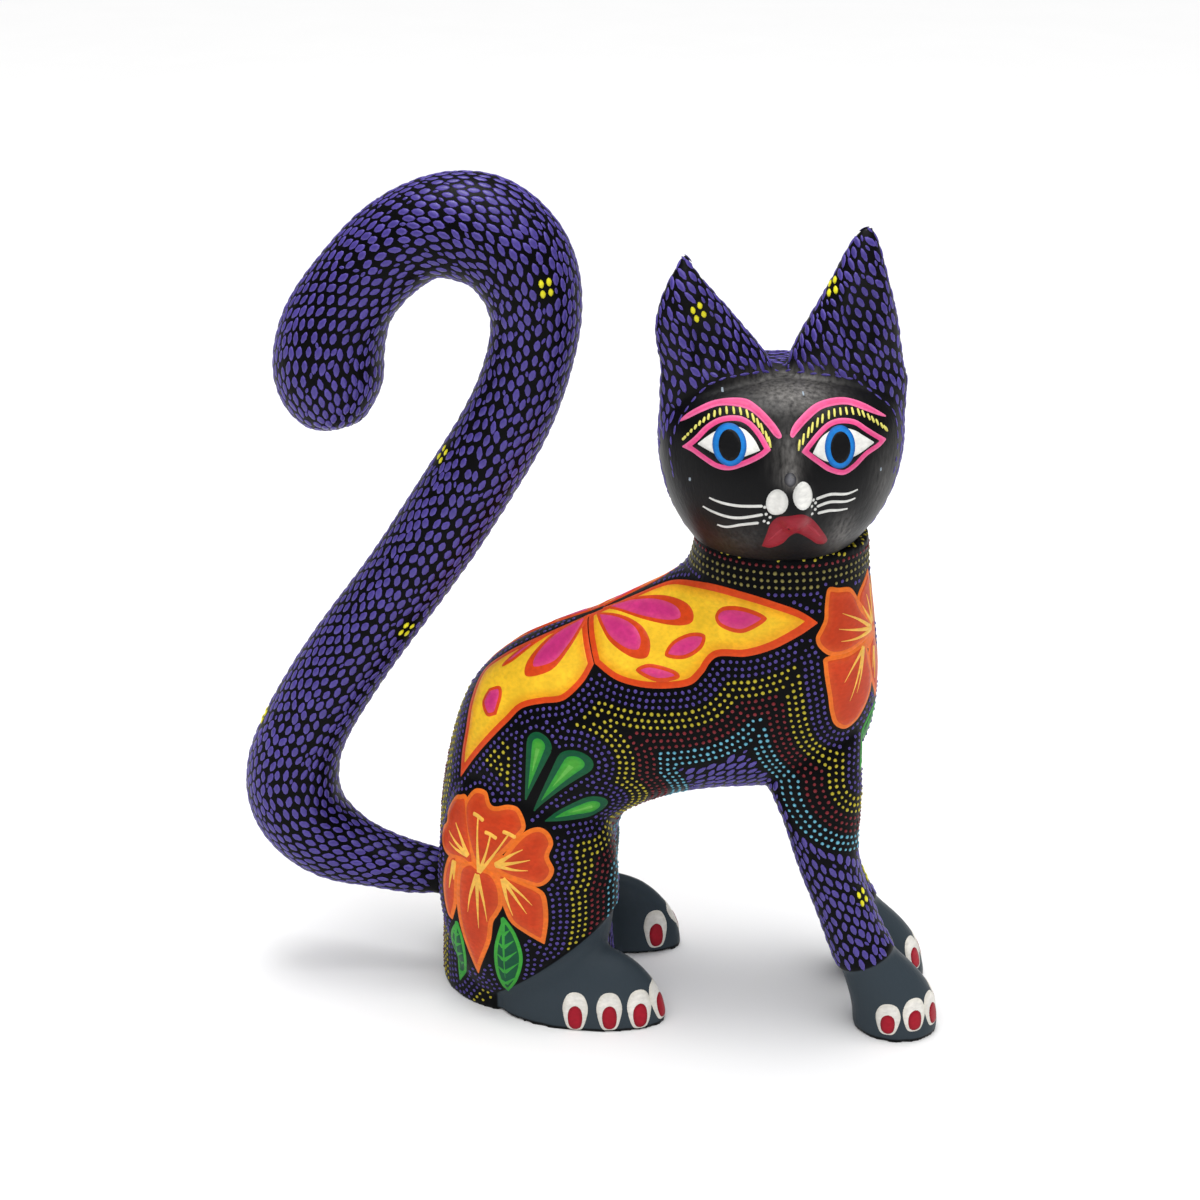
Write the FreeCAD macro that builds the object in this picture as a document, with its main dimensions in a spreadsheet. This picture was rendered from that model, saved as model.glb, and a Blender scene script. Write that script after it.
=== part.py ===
import FreeCAD, Part
import math
import os
import PartDesign
import Sketcher

# Seated cat carved from copal wood, ready for painting.  The trunk with its neck, haunches and
# four legs is one carving.  The turned head sits on the flat top of the neck over a glued dowel,
# each ear stands in a shallow pocket of the head with a round tenon under it, and the long curled
# tail plugs on to the rump with a loose hardwood peg, so that it draws off and turns.
#
# +X is the way the trunk faces, +Y is the cat's left side and +Z is up, in millimetres.  The
# origin is the middle of the flat underside of the seat, on the plane that the figure stands on.

doc = FreeCAD.newDocument("carved_cat")
sheet = doc.addObject("Spreadsheet::Sheet", "Sizes")

# ---------------------------------------------------------------- sizes
SIZES = [
    ("rump_x", -29.2, "rearmost point of the rump"),
    ("trunk_length", 131.3, "rump to chest"),
    ("trunk_width", 57, "trunk at its widest"),
    ("neck_height", 152, "flat top of the neck above the floor"),
    ("thigh_x", 0.5, "middle of a thigh"),
    ("thigh_y", 15.5, "middle of a thigh from the centre plane"),
    ("thigh_z", 42, "middle of a thigh above the floor"),
    ("thigh_long", 27.2, "half length of a thigh"),
    ("left_thigh_back", 4, "the left thigh stands this much further back"),
    ("thigh_thick", 16.6, "half thickness of a thigh"),
    ("thigh_rise", 47, "half height of a thigh"),
    ("hind_paw_x", 17.2, "middle of a hind paw"),
    ("hind_paw_y", 21.4, "middle of a hind paw from the centre plane"),
    ("hind_paw_long", 26, "half length of a hind paw"),
    ("hind_paw_wide", 10.6, "half width of a hind paw"),
    ("hind_paw_high", 25, "height of a hind paw"),
    ("leg_y", 14.6, "middle of a foreleg from the centre plane"),
    ("leg_foot_x", 111.5, "middle of a fore paw"),
    ("leg_lean", 29, "how far the shoulder stands behind the paw"),
    ("leg_thick", 18.2, "foreleg at half height, front to back"),
    ("leg_wide", 17.2, "foreleg at half height, side to side"),
    ("leg_height", 100, "foreleg, floor to inside the chest"),
    ("left_leg_back", 5, "the left foreleg stands this much further back"),
    ("dowel_x", 70, "axis of the neck dowel, about which the head is turned"),
    ("head_turn", 12, "angle of the face from square to the trunk, degrees"),
    ("head_offset", -0.5, "middle of the head beside the dowel"),
    ("head_forward", 8, "middle of the head in front of the dowel"),
    ("head_width", 67.4, "head, side to side"),
    ("head_depth", 60, "head, face to nape"),
    ("head_height", 50, "head, neck top to crown"),
    ("nose_wide", 5.5, "half width of the ridge of the nose"),
    ("nose_deep", 6, "half depth of the ridge of the nose"),
    ("nose_tall", 11, "half height of the ridge of the nose"),
    ("nose_sink", 4, "middle of the nose inside the face"),
    ("nose_up", 0.47, "middle of the nose as a share of the head's height"),
    ("ear_offset", -1.5, "notch between the ears beside the dowel"),
    ("ear_forward", 10, "middle of the ears in front of the dowel"),
    ("ear_seat", 36, "floor of the ear pockets above the neck top"),
    ("ear_pocket", 11.5, "height of an ear's straight root"),
    ("ear_half_gap", 1.1, "each ear's root from the middle of the head"),
    ("ear_thick", 18, "ear at its root, front to back"),
    ("right_ear_wide", 31.5, "right ear at its root, side to side"),
    ("right_ear_tall", 45.8, "right ear, pocket floor to tip"),
    ("left_ear_wide", 33.6, "left ear at its root, side to side"),
    ("left_ear_tall", 52.6, "left ear, pocket floor to tip"),
    ("ear_hollow", 2.6, "depth of the hollow in the front of an ear"),
    ("gouge_round", 10, "half depth of the round gouge that cuts the hollow"),
    ("gouge_wide", 0.27, "half width of the hollow as a share of the ear's width"),
    ("gouge_tall", 0.36, "half height of the hollow as a share of the ear's height"),
    ("gouge_up", 0.57, "middle of the hollow as a share of the ear's height"),
    ("gouge_front", 0.36, "front of the ear at the hollow, as a share of its thickness"),
    ("gouge_lean", 9, "lean of the gouge, following the ear's front, degrees"),
    ("tenon_radius", 3, "round tenon under an ear"),
    ("tenon_depth", 12, "how deep a tenon goes into the head"),
    ("dowel_radius", 5, "neck dowel"),
    ("dowel_depth", 16, "neck dowel in the neck, and the same in the head"),
    ("tail_z", 32.6, "height of the tail's root"),
    ("tail_tilt", 7, "rise of the tail's peg, degrees"),
    ("tail_flat", 1.2, "depth of the flat cut on the rump for the tail"),
    ("tail_flat_radius", 8.4, "radius of that flat"),
    ("tail_flat_run", 20, "how far behind that flat the wood is cleared"),
    ("bore_run", 5, "how far the peg's bore starts outside the flat"),
    ("tail_reach", 1, "length of the tail's sweep against the one tabled"),
    ("tail_girth", 1, "thickness of the tail against the one tabled"),
    ("peg_radius", 4, "tail peg"),
    ("peg_in_rump", 23, "tail peg inside the rump"),
    ("peg_in_tail", 15, "tail peg inside the tail"),
    ("peg_chamfer", 0.8, "chamfer on the ends of the pegs"),
    ("end_gap", 1, "space left past the ends of pegs and tenons"),
    ("glue_gap", 0.1, "glue line round a dowel or tenon, on the radius"),
    ("ear_gap", 0.15, "glue line round an ear's root in its pocket"),
    ("peg_gap", 0.05, "clearance round the tail peg, on the radius"),
    ("face_gap", 0.25, "gap between the tail's end and the rump"),
]

for row, (alias, number, note) in enumerate(SIZES, start=1):
    sheet.set(f"A{row}", alias)
    sheet.set(f"B{row}", str(number))
    sheet.setAlias(f"B{row}", alias)
    sheet.set(f"C{row}", note)
doc.recompute()

ALIASES = [alias for alias, number, note in SIZES]


def bound(text):
    """An expression in which every size name in angle brackets is read from the sheet."""
    for alias in ALIASES:
        text = text.replace(f"<{alias}>", f"Sizes.{alias}")
    return text


def set_sizes(piece, **expressions):
    """Binds properties of a piece, such as Radius, to expressions of sizes."""
    for name, text in expressions.items():
        piece.setExpression(name, bound(text))


def put(piece, x="0", y="0", z="0"):
    """Places a piece at three expressions of sizes."""
    for axis, text in zip("xyz", (x, y, z)):
        piece.setExpression(f"Placement.Base.{axis}", bound(text))


def swing(piece, axis, angle):
    """Turns a piece about an axis by an expression in degrees."""
    piece.Placement = FreeCAD.Placement(FreeCAD.Vector(), FreeCAD.Rotation(FreeCAD.Vector(*axis), 30))
    piece.setExpression("Placement.Rotation.Angle", bound(angle))


def section(name, major, minor, x="0", y="0", z="0", tilt=None):
    """A flat ellipse, its long axis along X, tilted nose up when a tilt is given."""
    ring = doc.addObject("Part::Ellipse", name)
    set_sizes(ring, MajorRadius=major, MinorRadius=minor)
    if tilt:
        swing(ring, (0, -1, 0), tilt)
    put(ring, x, y, z)
    return ring


def loft(name, sections):
    body = doc.addObject("Part::Loft", name)
    body.Sections = sections
    body.Solid = True
    return body


def ellipsoid(name, forward, sideways, up, x, y, z):
    ball = doc.addObject("Part::Ellipsoid", name)
    ball.Angle1 = -90
    ball.Angle2 = 90
    ball.Angle3 = 360
    set_sizes(ball, Radius2=forward, Radius3=sideways, Radius1=up)
    put(ball, x, y, z)
    return ball


def rod(name, radius, height, x="0", y="0", z="0"):
    """An upright cylinder."""
    pin = doc.addObject("Part::Cylinder", name)
    set_sizes(pin, Radius=radius, Height=height)
    put(pin, x, y, z)
    return pin


def fuse(name, pieces):
    whole = doc.addObject("Part::MultiFuse", name)
    whole.Shapes = pieces
    return whole


def cut(name, base, tool):
    rest = doc.addObject("Part::Cut", name)
    rest.Base = base
    rest.Tool = tool
    return rest


def slab(name, low, high):
    """A block wider than the figure between two heights."""
    block = doc.addObject("Part::Box", name)
    set_sizes(block, Length="400", Width="400", Height=f"({high}) - ({low})")
    put(block, "-200", "-200", low)
    return block


def peg(name, radius, length):
    """A round peg with both ends chamfered, standing on the origin."""
    body = doc.addObject("PartDesign::Body", name)
    sketch = body.newObject("Sketcher::SketchObject", f"{name}_round")
    centre = FreeCAD.Vector(0, 0, 0)
    up = FreeCAD.Vector(0, 0, 1)
    sketch.addGeometry(Part.Circle(centre, up, 4), False)
    sketch.addConstraint(Sketcher.Constraint("Coincident", 0, 3, -1, 1))
    sketch.addConstraint(Sketcher.Constraint("Radius", 0, 4))
    sketch.renameConstraint(1, "radius")
    sketch.setExpression("Constraints.radius", bound(radius))
    pad = body.newObject("PartDesign::Pad", f"{name}_pad")
    pad.Profile = sketch
    pad.setExpression("Length", bound(length))
    doc.recompute()
    rims = [f"Edge{n}" for n, edge in enumerate(pad.Shape.Edges, start=1) if edge.Closed]
    chamfer = body.newObject("PartDesign::Chamfer", f"{name}_chamfer")
    chamfer.Base = (pad, rims)
    chamfer.setExpression("Size", bound("<peg_chamfer>"))
    return body


# ---------------------------------------------------------------- trunk and neck
# Each row is one slice from spine to belly: spine point and belly point as shares of the
# trunk's length and of the neck's height, and the slice's width as a share of the trunk's.
TRUNK = [
    (0.008, -0.050, 0.395, -0.050, 0.870),
    (0.005, 0.120, 0.400, 0.120, 0.890),
    (0.003, 0.296, 0.405, 0.300, 0.915),
    (0.016, 0.445, 0.428, 0.385, 0.945),
    (0.056, 0.596, 0.492, 0.434, 0.985),
    (0.134, 0.702, 0.588, 0.466, 1.000),
    (0.270, 0.776, 0.700, 0.483, 1.000),
    (0.405, 0.832, 0.850, 0.500, 0.985),
    (0.520, 0.890, 0.965, 0.575, 0.955),
    (0.575, 0.946, 0.990, 0.735, 0.905),
    (0.588, 1.000, 0.965, 0.905, 0.810),
    (0.587, 1.050, 0.957, 1.040, 0.760),
]
slices = []
for number, (back_x, back_z, front_x, front_z, wide) in enumerate(TRUNK):
    run = f"({front_x - back_x:.3f} * <trunk_length>)"
    rise = f"({front_z - back_z:.3f} * <neck_height>)"
    slices.append(section(
        f"slice_{number}",
        major=f"sqrt({run} ^ 2 + {rise} ^ 2) / 2",
        minor=f"{wide} * <trunk_width> / 2",
        x=f"<rump_x> + {(front_x + back_x) / 2:.4f} * <trunk_length>",
        z=f"{(front_z + back_z) / 2:.4f} * <neck_height>",
        tilt=f"atan({rise} / {run})",
    ))
trunk = loft("trunk", slices)

# ---------------------------------------------------------------- legs
# Each row is one level of a foreleg: height as a share of the leg's, distance behind the paw as a
# share of the lean, thickness and width as shares of the leg's own, and how far out it stands.
FORELEG = [
    (-0.040, 0.010, 1.330, 1.180, 1.00),
    (0.070, 0.025, 1.400, 1.210, 1.00),
    (0.140, 0.105, 1.400, 1.190, 1.00),
    (0.200, 0.220, 1.300, 1.120, 1.00),
    (0.275, 0.385, 1.095, 1.020, 1.00),
    (0.405, 0.580, 0.990, 1.000, 1.00),
    (0.535, 0.750, 1.010, 1.040, 1.00),
    (0.665, 0.840, 1.200, 1.120, 0.98),
    (0.775, 0.920, 1.480, 1.250, 0.92),
    (0.890, 1.000, 1.660, 1.250, 0.80),
    (1.000, 1.050, 1.500, 0.950, 0.60),
]
masses = [trunk]
for side, sign, back, thigh_back in (
    ("right", "-1", "0", "0"),
    ("left", "1", "<left_leg_back>", "<left_thigh_back>"),
):
    levels = []
    for number, (up, behind, thick, wide, out) in enumerate(FORELEG):
        levels.append(section(
            f"{side}_leg_{number}",
            major=f"{thick} * <leg_thick> / 2",
            minor=f"{wide} * <leg_wide> / 2",
            x=f"<leg_foot_x> - {behind} * <leg_lean> - {back} * {1.3 - 1.4 * abs(up - 0.3):.3f}",
            y=f"{sign} * {out} * <leg_y>",
            z=f"{up} * <leg_height>",
        ))
    masses.append(loft(f"{side}_foreleg", levels))
    masses.append(ellipsoid(
        f"{side}_thigh", "<thigh_long>", "<thigh_thick>", "<thigh_rise>",
        f"<thigh_x> - {thigh_back}", f"{sign} * <thigh_y>", "<thigh_z>",
    ))
    masses.append(ellipsoid(
        f"{side}_hind_paw", "<hind_paw_long>", "<hind_paw_wide>", "<hind_paw_high>",
        "<hind_paw_x>", f"{sign} * <hind_paw_y>", "0",
    ))
carving = fuse("carving", masses)

# ---------------------------------------------------------------- trimming and boring the body
# The figure is sawn flat underneath and at the neck, bored for the dowel, and given a small flat
# on the rump, square to the tail's peg, with the peg's hole through it.
below = slab("below", "-60", "0")
above = slab("above", "<neck_height>", "<neck_height> + 60")
neck_bore = rod(
    "neck_bore", "<dowel_radius> + <glue_gap>", "<dowel_depth> + <end_gap> + 1",
    "<dowel_x>", "0", "<neck_height> - <dowel_depth> - <end_gap>",
)
root_x = "(<rump_x> + <tail_flat>)"
tail_flat = rod("rump_flat", "<tail_flat_radius>", "<tail_flat_run>")
swing(tail_flat, (0, -1, 0), "90 - <tail_tilt>")
put(tail_flat, root_x, "0", "<tail_z>")
rump_bore = rod("rump_bore", "<peg_radius> + <peg_gap>", "<peg_in_rump> + <end_gap> + <bore_run>")
swing(rump_bore, (0, 1, 0), "90 + <tail_tilt>")
put(
    rump_bore,
    f"{root_x} - <bore_run> * cos(<tail_tilt>)",
    "0",
    "<tail_z> + <bore_run> * sin(<tail_tilt>)",
)
waste = fuse("waste", [below, above, neck_bore, tail_flat, rump_bore])
body = cut("body", carving, waste)

neck_dowel = peg("neck_dowel", "<dowel_radius>", "2 * <dowel_depth>")
put(neck_dowel, "<dowel_x>", "0", "<neck_height> - <dowel_depth>")

# ---------------------------------------------------------------- head
# The head and ears are drawn about the dowel with the face towards -Y, then turned together.
# Each row is one level: height as a share of the head's, how far forward of the head's middle,
# and how wide and how deep as shares of the head's own sizes.
HEAD = [
    (-0.080, -5.6, 0.600, 0.640),
    (0.050, -5.0, 0.735, 0.800),
    (0.190, -3.0, 0.855, 0.905),
    (0.400, -0.8, 0.960, 0.975),
    (0.620, 0.0, 1.000, 0.990),
    (0.800, -0.8, 0.965, 0.910),
    (0.915, -2.2, 0.850, 0.750),
    (0.980, -3.2, 0.560, 0.480),
    (1.000, -3.8, 0.260, 0.200),
]
levels = []
for number, (up, forward, wide, deep) in enumerate(HEAD):
    levels.append(section(
        f"head_{number}",
        major=f"{wide} * <head_width> / 2",
        minor=f"{deep} * <head_depth> / 2",
        x="<head_offset>",
        y=f"-<head_forward> - ({forward})",
        z=f"<neck_height> + {up} * <head_height>",
    ))
skull = loft("skull", levels)
nose = ellipsoid(
    "nose", "<nose_wide>", "<nose_deep>", "<nose_tall>",
    "<head_offset>",
    "-<head_forward> - <head_depth> / 2 + <nose_sink>",
    "<neck_height> + <nose_up> * <head_height>",
)
blank = fuse("head_blank", [skull, nose])
head_low = slab("head_low", "<neck_height> - 60", "<neck_height>")
head_bore = rod(
    "head_bore", "<dowel_radius> + <glue_gap>", "<dowel_depth> + <end_gap> + 1",
    "0", "0", "<neck_height> - 1",
)

# Each row is one level of an ear: height as a share of the ear's, the outer and the inner edge as
# shares of its width from the inner corner of the root, and its thickness as a share of the root's.
RIGHT_EAR = [
    (0.155, 1.000, 0.000, 1.00),
    (0.490, 1.035, 0.190, 0.88),
    (0.660, 1.030, 0.400, 0.72),
    (0.825, 0.950, 0.610, 0.46),
    (0.930, 0.875, 0.730, 0.23),
    (1.000, 0.815, 0.775, 0.06),
]
LEFT_EAR = [
    (0.136, 1.000, 0.000, 1.00),
    (0.500, 0.905, 0.155, 0.88),
    (0.654, 0.845, 0.290, 0.74),
    (0.796, 0.780, 0.400, 0.52),
    (0.922, 0.715, 0.500, 0.30),
    (1.000, 0.650, 0.605, 0.07),
]
# The last number is how far across its ear the middle of each hollow stands.
SIDES = [("right", -1, RIGHT_EAR, 0.62), ("left", 1, LEFT_EAR, 0.57)]
pockets = [head_low, head_bore]
ears = {}
for side, sign, rows, hollow_across in SIDES:
    wide = f"<{side}_ear_wide>"
    tall = f"<{side}_ear_tall>"
    middle = f"<ear_offset> + {sign} * (<ear_half_gap> + {wide} / 2)"
    ear_y = "-<ear_forward>"
    seat = "<neck_height> + <ear_seat>"
    foot = section(f"{side}_foot", f"{wide} / 2", "<ear_thick> / 2", middle, ear_y, seat)
    collar = section(
        f"{side}_collar", f"{wide} / 2", "<ear_thick> / 2", middle, ear_y, f"{seat} + <ear_pocket>",
    )
    stump = loft(f"{side}_stump", [foot, collar])
    blade = []
    for number, (up, outer, inner, thick) in enumerate(rows):
        blade.append(section(
            f"{side}_ear_{number}",
            major=f"{(outer - inner) / 2:.4f} * {wide}",
            minor=f"{thick} * <ear_thick> / 2",
            x=f"<ear_offset> + {sign} * (<ear_half_gap> + {(outer + inner) / 2:.4f} * {wide})",
            y=ear_y,
            z=f"{seat} + {up} * {tall}" if number else f"{seat} + <ear_pocket>",
        ))
    leaf = loft(f"{side}_leaf", blade)
    tenon = rod(
        f"{side}_tenon", "<tenon_radius>", "<tenon_depth> + 1",
        middle, ear_y, f"{seat} - <tenon_depth>",
    )
    whole = fuse(f"{side}_ear_blank", [stump, leaf, tenon])
    scoop = ellipsoid(
        f"{side}_scoop", f"<gouge_wide> * {wide}", "<gouge_round>", f"<gouge_tall> * {tall}",
        f"<ear_offset> + {sign} * (<ear_half_gap> + {hollow_across} * {wide})",
        f"{ear_y} - <gouge_front> * <ear_thick> - <gouge_round> + <ear_hollow>",
        f"{seat} + <gouge_up> * {tall}",
    )
    swing(scoop, (-1, 0, 0), "<gouge_lean>")
    ears[side] = cut(f"{side}_ear", whole, scoop)
    mouth_low = section(
        f"{side}_mouth_low", f"{wide} / 2 + <ear_gap>", "<ear_thick> / 2 + <ear_gap>",
        middle, ear_y, seat,
    )
    mouth_high = section(
        f"{side}_mouth_high", f"{wide} / 2 + <ear_gap>", "<ear_thick> / 2 + <ear_gap>",
        middle, ear_y, f"{seat} + 30",
    )
    pockets.append(loft(f"{side}_pocket", [mouth_low, mouth_high]))
    pockets.append(rod(
        f"{side}_tenon_bore", "<tenon_radius> + <glue_gap>", "<tenon_depth> + <end_gap> + 1",
        middle, ear_y, f"{seat} - <tenon_depth> - <end_gap>",
    ))
head = cut("head", blank, fuse("head_waste", pockets))
turned = [head]
for side in ("right", "left"):
    turned.append(ears[side])
for piece in turned:
    swing(piece, (0, 0, 1), "<head_turn>")
    put(piece, "<dowel_x>", "0", "0")

# ---------------------------------------------------------------- tail and its peg
# Each row is one ring of the tail: how far behind and above the root, and the ring's radius.
TAIL = [
    (0.0, 0.0, 6.8),
    (6.0, 0.7, 7.4),
    (13.0, 1.6, 8.2),
    (21.0, 3.4, 9.0),
    (30.7, 6.2, 10.9),
    (40.3, 12.4, 12.8),
    (46.2, 21.5, 13.9),
    (46.8, 33.5, 13.9),
    (42.8, 46.0, 13.0),
    (35.0, 60.5, 12.7),
    (24.4, 76.9, 12.5),
    (11.3, 95.3, 12.3),
    (-5.8, 121.3, 12.5),
    (-13.1, 133.2, 12.3),
    (-22.6, 150.4, 12.1),
    (-28.2, 166.2, 12.0),
    (-30.0, 180.5, 12.9),
    (-26.0, 193.6, 14.6),
    (-17.0, 201.7, 15.2),
    (-4.3, 203.0, 14.2),
    (6.8, 198.6, 13.2),
    (19.6, 186.4, 13.0),
    (25.2, 177.9, 14.1),
    (28.9, 167.3, 15.4),
    (29.4, 157.5, 15.2),
    (28.0, 151.0, 12.8),
    (26.8, 147.0, 9.4),
    (26.0, 144.6, 4.0),
]
# Headings of the rings, from the two neighbours of each, opening out from the peg's own line.
headings = []
for number, (back, up, radius) in enumerate(TAIL):
    before = TAIL[max(number - 1, 0)]
    after = TAIL[min(number + 1, len(TAIL) - 1)]
    angle = math.degrees(math.atan2(-(after[0] - before[0]), after[1] - before[1]))
    while headings and angle < headings[-1] - 180:
        angle += 360
    while headings and angle > headings[-1] + 180:
        angle -= 360
    headings.append(angle)
rings = []
for number, (back, up, radius) in enumerate(TAIL):
    ring = doc.addObject("Part::Circle", f"ring_{number}")
    set_sizes(ring, Radius=f"{radius} * <tail_girth>")
    swing(ring, (0, 1, 0), "<tail_tilt> - 90" if number < 2 else f"{headings[number]:.2f}")
    if number < 2:
        away = f"({back} * <tail_reach> + <face_gap>)"
        put(
            ring,
            f"{root_x} - {away} * cos(<tail_tilt>)",
            "0",
            f"<tail_z> + {away} * sin(<tail_tilt>)",
        )
    else:
        put(
            ring,
            f"{root_x} - {back} * <tail_reach>",
            "0",
            f"<tail_z> + {up} * <tail_reach>",
        )
    rings.append(ring)
sweep = loft("sweep", rings)
tail_bore = rod("tail_bore", "<peg_radius> + <peg_gap>", "<peg_in_tail> + <end_gap> + 3")
swing(tail_bore, (0, 1, 0), "<tail_tilt> - 90")
put(
    tail_bore,
    f"{root_x} + 3 * cos(<tail_tilt>)",
    "0",
    "<tail_z> - 3 * sin(<tail_tilt>)",
)
tail = cut("tail", sweep, tail_bore)

tail_peg = peg("tail_peg", "<peg_radius>", "<peg_in_rump> + <peg_in_tail>")
swing(tail_peg, (0, 1, 0), "<tail_tilt> - 90")
put(
    tail_peg,
    f"{root_x} + <peg_in_rump> * cos(<tail_tilt>)",
    "0",
    "<tail_z> - <peg_in_rump> * sin(<tail_tilt>)",
)

# ---------------------------------------------------------------- checking and writing
doc.recompute()
PIECES = {
    "body": body,
    "neck_dowel": neck_dowel,
    "head": head,
    "right_ear": ears["right"],
    "left_ear": ears["left"],
    "tail": tail,
    "tail_peg": tail_peg,
}
for item in doc.Objects:
    if "Invalid" in item.State or "Error" in item.State:
        raise RuntimeError(f"{item.Name} did not compute: {item.State}")
os.makedirs("parts", exist_ok=True)
for name, piece in PIECES.items():
    piece.Label = name
    shape = piece.Shape
    if shape.isNull() or not shape.isValid() or len(shape.Solids) != 1:
        raise RuntimeError(f"{name} is not one valid solid: {len(shape.Solids)} solids")
    shape.Solids[0].exportStep(f"parts/{name}.step")
    box = shape.BoundBox
    print(
        f"{name:12s} x {box.XMin:7.1f} {box.XMax:7.1f}  y {box.YMin:7.1f} {box.YMax:7.1f}"
        f"  z {box.ZMin:7.1f} {box.ZMax:7.1f}  volume {shape.Volume / 1000:8.2f} cm3"
    )
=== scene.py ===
import math
import random

import bmesh
import bpy
import numpy as np
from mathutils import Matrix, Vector, geometry
from mathutils.bvhtree import BVHTree
from mathutils.kdtree import KDTree


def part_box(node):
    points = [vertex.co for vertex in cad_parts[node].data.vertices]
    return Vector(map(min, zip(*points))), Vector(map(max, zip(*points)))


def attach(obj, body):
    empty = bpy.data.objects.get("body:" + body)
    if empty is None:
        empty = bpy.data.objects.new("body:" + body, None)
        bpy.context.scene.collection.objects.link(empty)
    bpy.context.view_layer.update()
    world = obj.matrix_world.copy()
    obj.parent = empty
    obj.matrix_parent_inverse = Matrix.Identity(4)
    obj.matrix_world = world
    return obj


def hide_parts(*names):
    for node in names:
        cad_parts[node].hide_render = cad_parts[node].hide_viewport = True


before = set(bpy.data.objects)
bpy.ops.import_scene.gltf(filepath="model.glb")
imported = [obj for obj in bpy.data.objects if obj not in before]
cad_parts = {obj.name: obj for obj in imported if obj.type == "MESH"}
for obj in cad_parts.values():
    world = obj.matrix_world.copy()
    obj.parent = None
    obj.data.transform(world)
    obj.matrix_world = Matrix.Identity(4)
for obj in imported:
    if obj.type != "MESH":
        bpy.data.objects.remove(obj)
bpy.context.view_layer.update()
MM = 0.001

# ---------------------------------------------------------------- the carved body
# One block of copal: trunk, neck, haunches and four legs, cut with machete and knife, then sanded
# round, so the cuts flow into each other.  It is brushed black all over, and the paws slate grey.

SANDING_GRID = 0.95 * MM
SAND_IN = 0.55
SAND_OUT = -0.56
BLACK = "#050507"
PAW_GREY = "#384148"


def linear(hex_colour):
    """A linear colour from an sRGB hex value."""
    shares = [int(hex_colour[at:at + 2], 16) / 255 for at in (1, 3, 5)]
    return (*[s / 12.92 if s <= 0.04045 else ((s + 0.055) / 1.055) ** 2.4 for s in shares], 1.0)


def add(tree, kind, inputs=None, **settings):
    """A node with its settings; each input takes another node's socket or a plain value."""
    node = tree.nodes.new(kind)
    for name, value in settings.items():
        setattr(node, name, value)
    for key, value in (inputs or {}).items():
        if isinstance(value, bpy.types.NodeSocket):
            tree.links.new(value, node.inputs[key])
        else:
            node.inputs[key].default_value = value
    return node


def new_material(name):
    """A material, its tree and its shader, ready for links."""
    material = bpy.data.materials.new(name)
    material.use_nodes = True
    tree = material.node_tree
    return material, tree, tree.nodes["Principled BSDF"]


def mesh_object(name, points, faces):
    """A smooth-shaded piece made of plain points and faces, linked to the scene."""
    mesh = bpy.data.meshes.new(name)
    mesh.from_pydata([tuple(p) for p in points], [], faces)
    mesh.update()
    mesh.shade_smooth()
    thing = bpy.data.objects.new(name, mesh)
    bpy.context.scene.collection.objects.link(thing)
    return thing


def bake_modifiers(thing):
    """Gives the thing its evaluated shape as its own plain mesh, with no modifier left on it."""
    graph = bpy.context.evaluated_depsgraph_get()
    mesh = bpy.data.meshes.new_from_object(thing.evaluated_get(graph), depsgraph=graph)
    thing.modifiers.clear()
    thing.data = mesh
    return mesh


def points_of(mesh):
    """A mesh's points as an array, one row each."""
    flat = np.empty(len(mesh.vertices) * 3)
    mesh.vertices.foreach_get("co", flat)
    return flat.reshape(-1, 3)


def largest_shell(mesh):
    """Drops the scraps that the grid leaves in the thin glue gaps inside the wood."""
    shell = bmesh.new()
    shell.from_mesh(mesh)
    group = {}
    sizes = []
    for start in shell.verts:
        if start in group:
            continue
        queue = [start]
        group[start] = len(sizes)
        count = 0
        while queue:
            vert = queue.pop()
            count += 1
            for edge in vert.link_edges:
                other = edge.other_vert(vert)
                if other not in group:
                    group[other] = len(sizes)
                    queue.append(other)
        sizes.append(count)
    keep = sizes.index(max(sizes))
    bmesh.ops.delete(shell, geom=[v for v in shell.verts if group[v] != keep], context="VERTS")
    shell.to_mesh(mesh)
    shell.free()


def sanded(name, nodes, grid, rounds, shape=None):
    """The cut pieces run together on a fine grid and sanded round; a flat seat stays flat."""
    joined = bmesh.new()
    for node in nodes:
        joined.from_mesh(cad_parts[node].data)
    bmesh.ops.remove_doubles(joined, verts=joined.verts, dist=1e-6)
    mesh = bpy.data.meshes.new(name)
    joined.to_mesh(mesh)
    joined.free()
    thing = bpy.data.objects.new(name, mesh)
    bpy.context.scene.collection.objects.link(thing)
    remesh = thing.modifiers.new("grid", "REMESH")
    remesh.mode = "VOXEL"
    remesh.voxel_size = grid
    mesh = bake_modifiers(thing)
    largest_shell(mesh)
    co = points_of(mesh)
    if shape:
        normals = np.empty(len(co) * 3)
        mesh.vertices.foreach_get("normal", normals)
        co = shape(co, normals.reshape(-1, 3))
    ends = np.empty(len(mesh.edges) * 2, int)
    mesh.edges.foreach_get("vertices", ends)
    one, two = ends.reshape(-1, 2).T
    degree = np.bincount(ends, minlength=len(co)).astype(float)[:, None]
    seat = co[:, 2] < 0.5 * grid
    for turn in range(rounds * 2):
        total = np.zeros_like(co)
        for axis in range(3):
            total[:, axis] += np.bincount(one, co[two, axis], len(co))
            total[:, axis] += np.bincount(two, co[one, axis], len(co))
        co += (SAND_IN if turn % 2 == 0 else SAND_OUT) * (total / degree - co)
        co[seat, 2] = 0
    if seat.any():
        co[:, 2] = np.maximum(co[:, 2], 0)
    mesh.vertices.foreach_set("co", co.ravel())
    mesh.update()
    mesh.shade_smooth()
    return thing


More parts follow.
